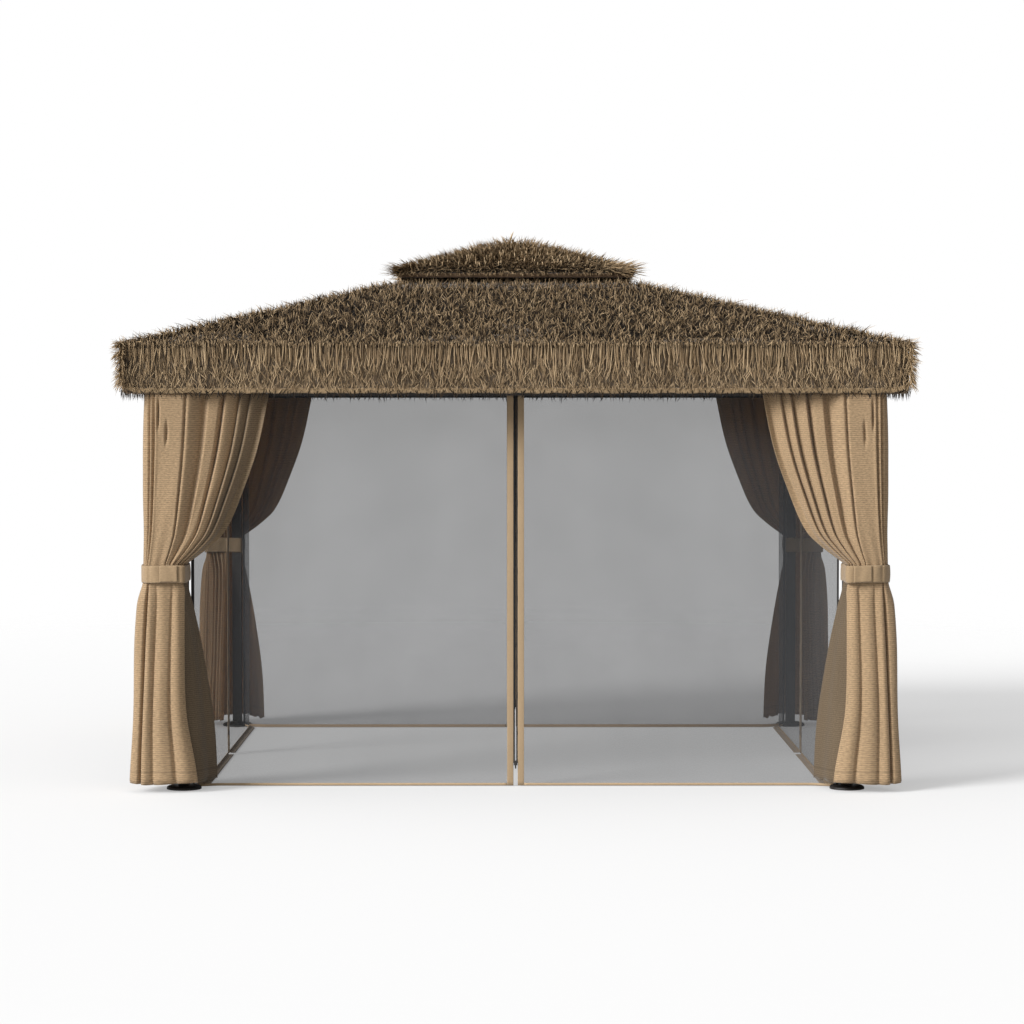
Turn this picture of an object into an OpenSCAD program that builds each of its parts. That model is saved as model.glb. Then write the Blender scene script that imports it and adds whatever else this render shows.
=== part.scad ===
// Soft-top gazebo with a double thatched roof, corner curtains and zipped insect nets.
// The origin is the middle of the floor it stands on, +Z is up and the front wall faces -Y.

/* [Roof] */
// Width of the roof over the faces of the valance
roof_w = 3660; // [3200:10:4200]
// Depth of the roof over the faces of the valance
roof_d = 3048; // [2700:10:3400]
// Height of the top edge of the valance above the floor
eave_z = 2094; // [2060:1:2200]
// Rise of the slopes from the eave to the point where they would meet
roof_rise = 490; // [420:5:560]
// Height of the hanging valance
valance_h = 226; // [180:1:226]
// Thickness of the hanging valance
valance_t = 20; // [14:1:26]
// Thickness of the thatch on the slopes, measured plumb
thatch_t = 30; // [26:1:36]
// Thickness of the matting that the strands are sewn to
mat_t = 8; // [5:0.5:10]
// Thickness of one flat strand
strand_t = 6; // [4:0.5:8]
// Thickness of the canopy cloth with its seams
canopy_t = 3; // [2:0.5:4]

/* [Upper roof] */
// Width of the vent frame at the head of the lower roof
vent_w = 842; // [760:1:900]
// Width of the upper canopy over its rim
tier_w = 1150; // [1080:1:1250]
// Height of the hanging rim of the upper canopy
rim_h = 23; // [15:1:35]
// Clear height between the lower thatch and the rim
vent_gap = 8; // [6:1:30]
// Rise of the upper canopy from its rim to its peak
tier_rise = 150; // [120:1:200]
// How far the upper thatch stands out past the rim
tier_overhang = 55; // [30:1:70]
// Thickness of the upper thatch, measured plumb
tier_thatch_t = 45; // [40:1:60]
// Radius of the crown tuft that closes the peak
crown_r = 100; // [80:1:120]

/* [Thatch strands] */
// Courses of strands on each lower slope
lower_courses = 4; // [3:1:5]
// Courses of strands on each upper slope
upper_courses = 2; // [1:1:3]
// Spacing of the strands on the lower slopes
slope_pitch = 165; // [150:5:220]
// Spacing of the strands on the valance
valance_pitch = 82; // [76:1:120]
// Spacing of the strands on the upper slopes
tier_pitch = 110; // [90:5:150]
// Height of the plain band at the top of the valance
valance_band = 70; // [40:1:100]
// Radius that rounds the lower corners of the valance
valance_round = 80; // [40:1:120]
// How far the valance cloth shows below the strands
valance_hem = 12; // [6:1:20]
// Share of its pitch that a strand takes at its root
strand_fill = 0.86; // [0.7:0.02:0.9]
// Sideways scatter of the strands' tips, as a share of the pitch
tip_scatter = 0.12; // [0.04:0.02:0.14]
// Uneven length of the strands, as a share of their length
tip_uneven = 0.1; // [0.04:0.02:0.16]
// Sewn band of one course, as a share of the course
band_share = 0.12; // [0.08:0.01:0.2]
// Spacing of the raised tufts along a lower slope
tuft_pitch = 254; // [220:2:300]
// Height of the raised tufts above the strands
tuft_rise = 23; // [12:1:28]
// Width of a raised tuft at its root
tuft_w = 110; // [80:5:130]
// Length of a raised tuft at its root
tuft_l = 170; // [120:5:200]
// Width of a tuft's blunt top, as a share of its root
tuft_top = 0.3; // [0.2:0.02:0.5]

/* [Posts and beams] */
// Width of the square post tube
post_w = 50; // [46:1:56]
// Wall of the post tube
post_wall = 1.5; // [1.2:0.1:2.5]
// Distance from the middle of a post to the face of the side valance
overhang = 270; // [250:5:300]
// Height of the underside of the beams above the floor
beam_z = 1848; // [1830:1:1860]
// Height of the beam tube
beam_h = 60; // [50:1:70]
// Width of the beam tube
beam_w = 30; // [26:1:40]
// Wall of the beam, rafter and rail tubes
tube_wall = 1.5; // [1.2:0.1:2.5]
// Width of the rafter tubes
rafter_w = 30; // [24:1:36]
// Height of the rafter tubes
rafter_h = 40; // [30:1:50]
// Side of the square eave tube
eave_tube = 25; // [20:1:30]
// Height of the flat bars that carry the upper canopy
upper_bar_h = 18; // [12:1:20]
// Width of the flat bars that carry the upper canopy
upper_bar_w = 20; // [14:1:30]
// Radius of the hub where the upper bars meet
hub_r = 45; // [35:1:55]

/* [Corner brackets and bolts] */
// Leg length of the angle that ties a beam to a post
angle_leg = 45; // [40:1:60]
// Width of the angle
angle_w = 24; // [20:1:26]
// Thickness of the angle and of the saddle under a rafter
bracket_t = 4; // [3:0.5:6]
// Radius of the bolt shank
bolt_r = 4; // [3:0.5:5]
// Distance across the flats of the bolt head
bolt_flats = 13; // [12:0.5:14]
// Height of the bolt head
bolt_head = 5.3; // [4:0.1:7]
// Length of the shank that shows inside the tube
bolt_tail = 6; // [4:1:10]
// Distance from the heel of the angle to its bolts
bolt_in = 28; // [25:1:31]

/* [Feet] */
// Radius of the round foot plate
plate_r = 75; // [70:1:76]
// Thickness of the foot plate
plate_t = 5; // [4:0.5:8]
// Spacing of the ground anchor holes
anchor_pitch = 84; // [76:1:86]
// Radius of an anchor hole
anchor_r = 5.5; // [4.5:0.5:6.5]
// Outer radius of the domed foot cover
cover_r = 81.5; // [81:0.5:86]
// Height of the foot cover
cover_h = 22; // [18:1:28]
// Wall of the foot cover
cover_wall = 2; // [1.5:0.1:3]
// Height of the straight rim of the foot cover
cover_rim = 7; // [6:0.5:9]

/* [Curtains] */
// Distance from a post's middle out to the curtain rails
curtain_out = 110; // [104:1:130]
// Radius of the curtain rails
curtain_rail_r = 8; // [6:0.5:10]
// Height of the middle of the curtain rails
curtain_rail_z = 1870; // [1868:1:1880]
// Reach of a curtain along the front or back rail from a post's middle
curtain_reach_x = 440; // [350:5:560]
// Reach of a curtain along the side rail from a post's middle
curtain_reach_y = 400; // [300:5:520]
// Height of the lower hem above the floor
hem_z = 43; // [30:1:80]
// Thickness of the gathered cloth
curtain_t = 5; // [3:0.5:6]
// Folds across one curtain
folds = 6; // [4:1:7]
// Depth of a fold at the rail, to each side
fold_top = 22; // [10:1:26]
// Depth of a fold inside the tie, to each side
fold_tie = 62; // [40:1:62]
// Depth of a fold at the hem, to each side
fold_hem = 30; // [15:1:34]
// Height of the middle of the tie above the floor
tie_z = 1020; // [900:5:1150]
// Height of the tie band
tie_h = 84; // [60:1:110]
// Thickness of the tie band
tie_t = 6; // [3:0.5:8]
// Distance from a post's middle to the outer face of the tie
tie_reach = 184; // [184:1:200]
// Radius of the tie band where it turns beside the post
tie_side_r = 20; // [12:1:24]
// Radius of the tie band round the gathered cloth
tie_far_r = 80; // [70:1:90]

/* [Nets] */
// Distance from a post's middle in to the net rails
net_in = 80; // [76:1:90]
// Radius of the net rails
net_rail_r = 6; // [5:0.5:7]
// Height of the middle of the net rails
net_rail_z = 1870; // [1866:1:1880]
// Thickness of the net cloth
net_t = 1; // [0.6:0.1:2]
// Height of the lower edge of the nets above the floor
net_low = 3; // [2:1:20]
// Width of the sewn binding beside the zip
binding_w = 30; // [20:1:45]
// Thickness of the binding
binding_t = 4; // [3.5:0.1:6]
// Width of the whole zip
zip_w = 20; // [18:1:30]
// Thickness of the zip tape
zip_t = 3; // [2:0.1:3.2]
// Height of the lower end of the zip above the floor
zip_low = 110; // [60:5:200]
// Slot between the two rows of teeth, where the slider's neck runs
zip_slot = 2; // [1.8:0.1:3]
// Height of the zip slider
slider_h = 22; // [16:1:30]
// Width of the zip slider
slider_w = 16; // [12:1:17]
// Thickness of each wing of the slider
slider_wall = 2; // [1.5:0.1:3]
// Length of the slider's pull tab
pull_l = 28; // [20:1:40]
// Width of the slider's pull tab
pull_w = 7; // [5:0.5:9]
// Distance of the tab's head below the top of the slider
pull_drop = 9; // [6:0.5:12]

/* [Rings and rail brackets] */
// Wire radius of the rings
ring_wire = 1.5; // [1:0.1:2]
// Play of a ring on its rail, counted on the radius
ring_play = 3; // [2:0.1:4]
// Rings on each half net
net_ring_count = 6; // [3:1:9]
// Wall of the eye that a rail bracket holds its rail in
eye_wall = 4; // [3:0.5:5]
// Length of the eye along the rail
eye_l = 8; // [6:1:12]
// Height of a rail bracket's arm
arm_h = 14; // [10:1:16]
// Distance from a post's middle to the nearest curtain rail bracket
bracket_inset = 60; // [50:1:66]

/* [Fits] */
// Clearance between pieces that seat on each other
fit = 0.3; // [0.3:0.05:0.6]
// Clearance between the slider and the zip
slide_fit = 0.4; // [0.3:0.05:0.6]

/* [Hidden] */
$fn = 32;

steel = "#383534";
thatch = "#6b5a46";
cloth = "#9f8567";

// Small overlap that keeps joined shapes in one piece
lap = 1;
// The four hips run over the posts, so both spans keep the roof's proportion
ratio = roof_d / roof_w;
post_x = roof_w / 2 - overhang;
post_y = post_x * ratio;
hip_angle = atan2(roof_d, roof_w);
hip_run = norm([roof_w, roof_d]) / 2;
hip_post = norm([post_x, post_y]);
vent_d = vent_w * ratio;
hip_vent = norm([vent_w, vent_d]) / 2;
beam_top = beam_z + beam_h;

// Plumb drops below the face of the lower thatch
canopy_drop = thatch_t + fit;
rafter_drop = canopy_drop + canopy_t + fit;
skirt_in = valance_t + fit;
rail_in = skirt_in + canopy_t + fit;
vent_top = eave_z + roof_rise * (1 - vent_w / roof_w) - rafter_drop;
eave_rail_top = eave_z + roof_rise * rail_in / (roof_w / 2) - rafter_drop;

// Upper roof
tier_d = tier_w * ratio;
rim_z = eave_z + roof_rise * (1 - tier_w / roof_w) + vent_gap;
tier_z = rim_z + rim_h;
hip_tier = norm([tier_w, tier_d]) / 2;
upper_drop = canopy_t + fit;
crown_gap = 5;

// A flat-topped bar under a hip lies lower, so that its edges clear the slopes
hip_ease = roof_rise * rafter_w * cos(hip_angle) / roof_d;
upper_ease = tier_rise * upper_bar_w * cos(hip_angle) / tier_d;
hip_drop = rafter_drop + hip_ease;
bar_drop = upper_drop + upper_ease;

// Walls: 0 front, 1 right, 2 back, 3 left
function run_of(k, x, y) = k % 2 == 0 ? y : x;
function mix(a, b, w) = a + (b - a) * w;
function lower_z(share, drop) = eave_z + roof_rise * (1 - share) - drop;
function upper_z(share, drop) = tier_z + tier_rise * (1 - share) - drop;

// How far a square-ended bar under a hip reaches into the corner of two faces
function corner_reach(x, y, width) = min((x - width / 2 * sin(hip_angle)) / cos(hip_angle),
    (y - width / 2 * cos(hip_angle)) / sin(hip_angle)) - fit;

module corner_at(sx, sy) {
    translate([sx * post_x, sy * post_y, 0]) mirror([sx < 0 ? 1 : 0, 0, 0])
        mirror([0, sy < 0 ? 1 : 0, 0]) children();
}

module wall(k) {
    rotate([0, 0, 90 * k]) children();
}

// A profile drawn in distance from the middle and height, laid along the four hips
module along_hips(width) {
    for (sx = [-1, 1], sy = [-1, 1])
        rotate([0, 0, atan2(sy * roof_d, sx * roof_w)]) rotate([90, 0, 0])
            translate([0, 0, -width / 2]) linear_extrude(width) children();
}

// A tube between two distances that follows a slope
module sloped_tube(near, far, full, slope_z, slope_rise, h, width, wall_t) {
    function top(s) = slope_z + slope_rise * (1 - s / full);
    rotate([90, 0, 0]) difference() {
        translate([0, 0, -width / 2]) linear_extrude(width)
            polygon([[near, top(near) - h], [far, top(far) - h], [far, top(far)], [near, top(near)]]);
        translate([0, 0, -width / 2 + wall_t]) linear_extrude(width - 2 * wall_t)
            polygon([[near - lap, top(near - lap) - h + wall_t], [far + lap, top(far + lap) - h + wall_t],
                [far + lap, top(far + lap) - wall_t], [near - lap, top(near - lap) - wall_t]]);
    }
}

// Square tube along X, centred, from its underside
module flat_tube(length, width, h, wall_t) {
    difference() {
        translate([-length / 2, -width / 2, 0]) cube([length, width, h]);
        translate([-length / 2 - lap, -width / 2 + wall_t, wall_t])
            cube([length + 2 * lap, width - 2 * wall_t, h - 2 * wall_t]);
    }
}

// Hipped block: the pyramid over w by d that starts at z and rises, cut at half sizes and a floor
module hip_block(w, d, z, rise, cut_x, cut_y, low) {
    intersection() {
        rotate([90, 0, 0]) translate([0, 0, -cut_y]) linear_extrude(2 * cut_y)
            polygon([[-cut_x, low], [cut_x, low], [cut_x, z + rise * (1 - 2 * cut_x / w)],
                [0, z + rise], [-cut_x, z + rise * (1 - 2 * cut_x / w)]]);
        rotate([90, 0, 90]) translate([0, 0, -cut_x]) linear_extrude(2 * cut_x)
            polygon([[-cut_y, low], [cut_y, low], [cut_y, z + rise * (1 - 2 * cut_y / d)],
                [0, z + rise], [-cut_y, z + rise * (1 - 2 * cut_y / d)]]);
    }
}

// Posts, feet and beams
hip_beyond = norm([post_w, post_w]) / 2;
post_top = lower_z((hip_post + hip_beyond) / hip_run, hip_drop + rafter_h) - fit - bracket_t;

module post(sx, sy) {
    color(steel) corner_at(sx, sy) difference() {
        translate([-post_w / 2, -post_w / 2, plate_t]) cube([post_w, post_w, post_top - plate_t]);
        translate([-post_w / 2 + post_wall, -post_w / 2 + post_wall, 0])
            cube([post_w - 2 * post_wall, post_w - 2 * post_wall, post_top + lap]);
        translate([-post_w / 2 - lap, 0, beam_top + bolt_in]) rotate([0, 90, 0])
            cylinder(r = bolt_r + fit, h = post_wall + 2 * lap);
        translate([0, -post_w / 2 - lap, beam_top + bolt_in]) rotate([-90, 0, 0])
            cylinder(r = bolt_r + fit, h = post_wall + 2 * lap);
    }
}

module foot_plates() {
    color(steel) for (sx = [-1, 1], sy = [-1, 1]) corner_at(sx, sy) difference() {
        cylinder(r = plate_r, h = plate_t, $fn = 64);
        for (ax = [-1, 1], ay = [-1, 1])
            translate([ax * anchor_pitch / 2, ay * anchor_pitch / 2, -lap])
                cylinder(r = anchor_r, h = plate_t + 2 * lap);
    }
}

// Quarter-ellipse dome on a straight rim
module dome(r, h, rim) {
    flat_r = post_w / 2;
    rotate_extrude($fn = 64) polygon(concat([[0, 0], [r, 0], [r, rim]],
        [for (a = [15 : 15 : 90]) [flat_r + (r - flat_r) * cos(a), rim + (h - rim) * sin(a)]], [[0, h]]));
}

module foot_cover(sx, sy) {
    hole = post_w + 2 * slide_fit;
    color("#130e0d") corner_at(sx, sy) difference() {
        dome(cover_r, cover_h, cover_rim);
        translate([0, 0, -lap]) cylinder(r = cover_r - cover_wall, h = cover_rim + lap, $fn = 64);
        dome(cover_r - cover_wall, cover_h - cover_wall, cover_rim);
        translate([-hole / 2, -hole / 2, 0]) cube([hole, hole, cover_h + lap]);
    }
}

module beam(k) {
    length = 2 * run_of(k + 1, post_x, post_y) - post_w;
    color(steel) wall(k) translate([0, -run_of(k, post_x, post_y), beam_z]) difference() {
        flat_tube(length, beam_w, beam_h, tube_wall);
        for (s = [-1, 1])
            translate([s * (length / 2 - bolt_in), 0, beam_h - tube_wall - lap])
                cylinder(r = bolt_r + fit, h = tube_wall + 2 * lap);
    }
}

// Places its child at both ends of all four beams, the post's face at x = 0
module beam_ends() {
    for (k = [0 : 3], s = [-1, 1])
        wall(k) translate([s * (run_of(k + 1, post_x, post_y) - post_w / 2),
            -run_of(k, post_x, post_y), beam_top]) mirror([s > 0 ? 0 : 1, 0, 0]) children();
}

module corner_brackets() {
    saddle_l = post_w;
    color(steel) {
        beam_ends() difference() {
            union() {
                translate([-angle_leg, -angle_w / 2, 0]) cube([angle_leg, angle_w, bracket_t]);
                translate([-bracket_t, -angle_w / 2, 0]) cube([bracket_t, angle_w, angle_leg]);
            }
            translate([-bolt_in, 0, -lap]) cylinder(r = bolt_r + fit, h = bracket_t + 2 * lap);
            translate([-bracket_t - lap, 0, bolt_in]) rotate([0, 90, 0])
                cylinder(r = bolt_r + fit, h = bracket_t + 2 * lap);
        }
        along_hips(rafter_w) polygon([
            [hip_post - saddle_l / 2, post_top], [hip_post + saddle_l / 2, post_top],
            for (s = [1, -1]) [hip_post + s * saddle_l / 2,
                lower_z((hip_post + s * saddle_l / 2) / hip_run, hip_drop + rafter_h) - fit]]);
    }
}

module bolt(grip) {
    translate([0, 0, bracket_t]) cylinder(d = bolt_flats / cos(30), h = bolt_head, $fn = 6);
    translate([0, 0, -grip - bolt_tail]) cylinder(r = bolt_r, h = grip + bolt_tail + bracket_t + lap);
}

module fasteners() {
    color("#8a8a8a") beam_ends() {
        translate([-bolt_in, 0, 0]) bolt(tube_wall);
        translate([0, 0, bolt_in]) rotate([0, -90, 0]) bolt(post_wall);
    }
}

// Roof frame
rail_face_x = roof_w / 2 - rail_in - eave_tube;
rail_face_y = roof_d / 2 - rail_in - eave_tube;
hip_far = corner_reach(rail_face_x, rail_face_y, rafter_w);

module hip_rafters() {
    color(steel) for (sx = [-1, 1], sy = [-1, 1]) rotate([0, 0, atan2(sy * roof_d, sx * roof_w)])
        sloped_tube(hip_vent + fit, hip_far, hip_run, lower_z(1, hip_drop), roof_rise,
            rafter_h, rafter_w, tube_wall);
}

module mid_rafters() {
    color(steel) for (k = [0 : 3]) rotate([0, 0, 90 * k - 90])
        sloped_tube(run_of(k, vent_w, vent_d) / 2 + fit, run_of(k, rail_face_x, rail_face_y) - fit,
            run_of(k, roof_w, roof_d) / 2, lower_z(1, rafter_drop), roof_rise,
            rafter_h, rafter_w, tube_wall);
}

module eave_rails() {
    color(steel) for (k = [0 : 3]) {
        full = run_of(k + 1, roof_w, roof_d) - 2 * rail_in;
        length = k % 2 == 0 ? full : full - 2 * (eave_tube + fit);
        wall(k) translate([0, -run_of(k, roof_w, roof_d) / 2 + rail_in + eave_tube / 2,
            eave_rail_top - eave_tube]) flat_tube(length, eave_tube, eave_tube, tube_wall);
    }
}

module vent_frame() {
    stub_far = corner_reach(vent_w / 2, vent_d / 2, upper_bar_w);
    stub_near = stub_far - upper_bar_w;
    function stub_top(s) = upper_z(s / hip_tier, bar_drop + upper_bar_h) - fit;
    color(steel) {
        difference() {
            translate([-vent_w / 2, -vent_d / 2, vent_top - rafter_h]) cube([vent_w, vent_d, rafter_h]);
            translate([-vent_w / 2 + rafter_w, -vent_d / 2 + rafter_w, vent_top - rafter_h - lap])
                cube([vent_w - 2 * rafter_w, vent_d - 2 * rafter_w, rafter_h + 2 * lap]);
        }
        along_hips(upper_bar_w) polygon([[stub_near, vent_top - lap], [stub_far, vent_top - lap],
            [stub_far, stub_top(stub_far)], [stub_near, stub_top(stub_near)]]);
    }
}

hub_top = upper_z(2 * hub_r / tier_d, upper_drop) - fit;
hub_low = upper_z(hub_r / hip_tier, bar_drop + upper_bar_h) - bracket_t;
upper_far = corner_reach(tier_w / 2 - canopy_t, tier_d / 2 - canopy_t, upper_bar_w);

module upper_rafters() {
    color(steel) along_hips(upper_bar_w) polygon([
        for (s = [hub_r + fit, upper_far]) [s, upper_z(s / hip_tier, bar_drop + upper_bar_h)],
        for (s = [upper_far, hub_r + fit]) [s, upper_z(s / hip_tier, bar_drop)]]);
}

module crown_hub() {
    color(steel) translate([0, 0, hub_low]) cylinder(r = hub_r, h = hub_top - hub_low, $fn = 48);
}

// Canopies
module lower_canopy() {
    outer_x = roof_w / 2 - skirt_in;
    outer_y = roof_d / 2 - skirt_in;
    low = eave_z - valance_h;
    color("#5b4b3a") difference() {
        hip_block(roof_w, roof_d, lower_z(1, canopy_drop), roof_rise, outer_x, outer_y, low);
        hip_block(roof_w, roof_d, lower_z(1, canopy_drop + canopy_t), roof_rise,
            outer_x - canopy_t, outer_y - canopy_t, low - lap);
        translate([-vent_w / 2, -vent_d / 2, eave_z]) cube([vent_w, vent_d, roof_rise]);
    }
}

module upper_canopy() {
    color("#4a3a2c") difference() {
        hip_block(tier_w, tier_d, tier_z, tier_rise, tier_w / 2, tier_d / 2, rim_z);
        hip_block(tier_w, tier_d, tier_z - canopy_t, tier_rise, tier_w / 2 - canopy_t,
            tier_d / 2 - canopy_t, rim_z - lap);
    }
}

// Thatch: combs of flat pointed strands sewn in courses on a matting
// Turn from one draw to the next, in degrees, and where the draws start
scatter_turn = 137.5;
scatter_from = 40;
function scatter(i, spread) = spread * sin(i * scatter_turn + scatter_from);
// The sewn bands stop short of the edges of the matting
band_in = 2;

// One course: a band from y = 0 up, and strands that hang down from it and fan to the wider foot
module comb(head, foot, length, band, count) {
    pitch = 2 * head / count;
    linear_extrude(strand_t) polygon(concat([[head, band], [-head, band]],
        [for (i = [0 : count - 1], c = [0 : 2]) let (middle = -head + pitch * (i + 0.5))
            c == 1 ? [middle * foot / head + scatter(i, pitch * tip_scatter),
                    -length * (1 - abs(scatter(i, tip_uneven)))]
                : [middle + (c - 1) * pitch * strand_fill / 2, 0]]));
}

// One roof slope. Its frame has y up the slope from the eave line and z out of the slope.
module thatch_slope(run, half_w, rise, start, stop, thickness, base_t, courses, pitch) {
    tilt_angle = atan2(rise, run);
    function half_at(v) = half_w * (1 - v * cos(tilt_angle) / run) - crown_gap;
    head = (run - stop) / cos(tilt_angle);
    foot = (run - start) / cos(tilt_angle);
    course = (head - foot) / courses;
    band = course * band_share;
    strand = course - band;
    lift = asin((thickness * cos(tilt_angle) - base_t - strand_t) / course);
    linear_extrude(base_t)
        polygon([[-half_at(foot), foot], [half_at(foot), foot], [half_at(head), head], [-half_at(head), head]]);
    for (j = [0 : courses - 1]) {
        at = foot + course * j + strand;
        translate([0, at, base_t - lap]) rotate([-lift, 0, 0])
            comb(half_at(at + band) - band_in, half_at(at - strand) - crown_gap, strand, band,
                round(2 * half_at(at) / pitch));
    }
}

// Outline of a tuft in shares of its width and length, pointed down the slope
tuft_outline = [[-0.4, 0.4], [0.4, 0.4], [0.5, 0.05], [0.3, -0.35], [0, -0.6], [-0.3, -0.35], [-0.5, 0.05]];
// Place of the tufts in their course, as a share of it
tuft_place = 0.55;
// Distance from a hip to the middle of the nearest tuft
tuft_clear = 160;

// Raised tufts of a lower slope, one row to each course but the top one, which lies under the rim
module slope_tufts(run, half_w, slope, start, stop) {
    foot = (run - start) / cos(slope);
    course = ((run - stop) / cos(slope) - foot) / lower_courses;
    for (j = [0 : lower_courses - 2]) {
        at = foot + course * (j + tuft_place);
        half = half_w * (1 - at * cos(slope) / run) - tuft_clear;
        count = round(2 * half / tuft_pitch);
        for (i = [0 : count])
            translate([half * (2 * i / count - 1) + scatter(i + count, tuft_w / 4),
                at + scatter(i + j, tuft_l / 6), mat_t - lap])
                linear_extrude(thatch_t * cos(slope) - mat_t + tuft_rise, scale = tuft_top)
                    polygon([for (p = tuft_outline) [p[0] * tuft_w, p[1] * tuft_l]]);
    }
}

module lower_thatch(k) {
    run = run_of(k, roof_w, roof_d) / 2;
    slope = atan2(roof_rise, run);
    start = run - skirt_in - thatch_t * tan(slope);
    stop = run_of(k, vent_w, vent_d) / 2;
    half_w = run_of(k + 1, roof_w, roof_d) / 2;
    color(thatch) wall(k) translate([0, -run, lower_z(1, thatch_t)]) rotate([slope, 0, 0]) {
        thatch_slope(run, half_w, roof_rise, start, stop, thatch_t, mat_t, lower_courses, slope_pitch);
        slope_tufts(run, half_w, slope, start, stop);
    }
}

// Outline of the crown tuft in shares of its radius and height
crown_outline = [[0, 0], [1, 0], [1, 0.4], [0.55, 0.85], [0.25, 1], [0, 1]];

module upper_thatch() {
    color(thatch) {
        for (k = [0 : 3]) {
            run = run_of(k, tier_w, tier_d) / 2;
            slope = atan2(tier_rise, run);
            reach = run + tier_overhang - tier_thatch_t * sin(slope);
            difference() {
                wall(k) translate([0, -run, tier_z + fit]) rotate([slope, 0, 0])
                    thatch_slope(run, run_of(k + 1, tier_w, tier_d) / 2, tier_rise, reach,
                        crown_r + crown_gap, tier_thatch_t - fit, mat_t, upper_courses, tier_pitch);
                translate([-tier_w, -tier_w, tier_z + fit - tier_w]) cube([2 * tier_w, 2 * tier_w, tier_w]);
            }
        }
        crown_low = upper_z(2 * crown_r / tier_d, 0);
        crown_top = tier_z + tier_rise + tier_thatch_t;
        difference() {
            translate([0, 0, crown_low]) rotate_extrude($fn = 48)
                polygon([for (p = crown_outline) [p[0] * crown_r, p[1] * (crown_top - crown_low)]]);
            hip_block(tier_w, tier_d, tier_z + fit, tier_rise, tier_w / 2, tier_d / 2, rim_z);
        }
    }
}

// Tips of the end strands follow the round lower corners
function corner_lift(edge) = edge >= valance_round ? 0
    : valance_round - sqrt(valance_round * valance_round - pow(valance_round - edge, 2));

module valance() {
    low = eave_z - valance_h + valance_hem;
    color(thatch) for (k = [0 : 3]) {
        full = run_of(k + 1, roof_w, roof_d) / 2;
        half = k % 2 == 0 ? full : full - valance_t - fit;
        count = round(2 * half / valance_pitch);
        pitch = 2 * half / count;
        wall(k) translate([0, -run_of(k, roof_w, roof_d) / 2 + valance_t, 0]) rotate([90, 0, 0])
            linear_extrude(valance_t) polygon(concat([[half, eave_z], [-half, eave_z]],
                [for (i = [0 : count - 1], c = [0 : 2]) let (middle = -half + pitch * (i + 0.5))
                    c == 1 ? [middle + scatter(i, pitch * tip_scatter),
                            low + corner_lift(half - abs(middle)) + abs(scatter(i, valance_hem))]
                        : [middle + (c - 1) * pitch * strand_fill / 2, eave_z - valance_band]]));
    }
}

// Rails
module curtain_rails() {
    color(steel) for (k = [0 : 3]) {
        out = curtain_out + curtain_rail_r;
        half = run_of(k + 1, post_x, post_y) + (k % 2 == 0 ? out + eye_l : curtain_out - curtain_rail_r - fit);
        wall(k) translate([-half, -run_of(k, post_x, post_y) - curtain_out, curtain_rail_z])
            rotate([0, 90, 0]) cylinder(r = curtain_rail_r, h = 2 * half);
    }
}

module net_rails() {
    color(steel) for (k = [0 : 3]) {
        half = run_of(k + 1, post_x, post_y) - net_in + (k % 2 == 0 ? net_rail_r : -net_rail_r - fit);
        wall(k) translate([-half, -run_of(k, post_x, post_y) + net_in, net_rail_z])
            rotate([0, 90, 0]) cylinder(r = net_rail_r, h = 2 * half);
    }
}

// An eye round a rail along X and an arm to the beam face, which lies at y = face
module rail_bracket(rail_r, face) {
    side = face < 0 ? -1 : 1;
    eye_r = rail_r + fit + eye_wall;
    difference() {
        union() {
            translate([-eye_l / 2, 0, 0]) rotate([0, 90, 0]) cylinder(r = eye_r, h = eye_l);
            translate([-eye_l / 2, side > 0 ? rail_r : face, -arm_h / 2])
                cube([eye_l, abs(face) - rail_r, arm_h]);
        }
        translate([-eye_l / 2 - lap, 0, 0]) rotate([0, 90, 0])
            cylinder(r = rail_r + fit, h = eye_l + 2 * lap);
    }
}

module rail_brackets() {
    color(steel) for (k = [0 : 3], s = [-1, 0, 1]) {
        run = run_of(k, post_x, post_y);
        half = run_of(k + 1, post_x, post_y);
        wall(k) translate([s * (half - bracket_inset), -run - curtain_out, curtain_rail_z])
            rail_bracket(curtain_rail_r, curtain_out - beam_w / 2);
        wall(k) translate([s * (half - net_in - net_rail_r - 2 * eye_l), -run + net_in, net_rail_z])
            rail_bracket(net_rail_r, beam_w / 2 - net_in);
    }
}

// Curtains: a folded line that changes from the rails through the tie to the hem
function ring_low(rail_z, rail_r) = rail_z - ring_play + fit - rail_r - ring_play - 2 * ring_wire;
curtain_top = ring_low(curtain_rail_z, curtain_rail_r) - fit;
net_top = ring_low(net_rail_z, net_rail_r) - fit;
tie_mid = tie_reach - tie_t - fit - curtain_t / 2 - fold_tie;

// The cloth's line from above, from a post's middle: under the rails it turns the corner with a round
turn_near = 60;
turn_in = 15;
top_line = [[-curtain_reach_x, curtain_out], [-mix(curtain_reach_x, turn_near, 0.5), curtain_out],
    [-turn_near, curtain_out], [curtain_out - turn_in, curtain_out - turn_in], [curtain_out, -turn_near],
    [curtain_out, -mix(curtain_reach_y, turn_near, 0.5)], [curtain_out, -curtain_reach_y]];
// At the hem it falls open round the post
hem_line = [[-147, -50], [-120, 60], [-60, 145], [195, 180], [205, -10], [120, -120], [-45, -147]];

function spline(p, u) = let (n = len(p) - 1, i = min(floor(u * n), n - 1), t = u * n - i,
    a = p[max(i - 1, 0)], b = p[i], c = p[i + 1], d = p[min(i + 2, n)])
    0.5 * (2 * b + (c - a) * t + (2 * a - 5 * b + 4 * c - d) * t * t + (3 * b - a - 3 * c + d) * t * t * t);

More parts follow.
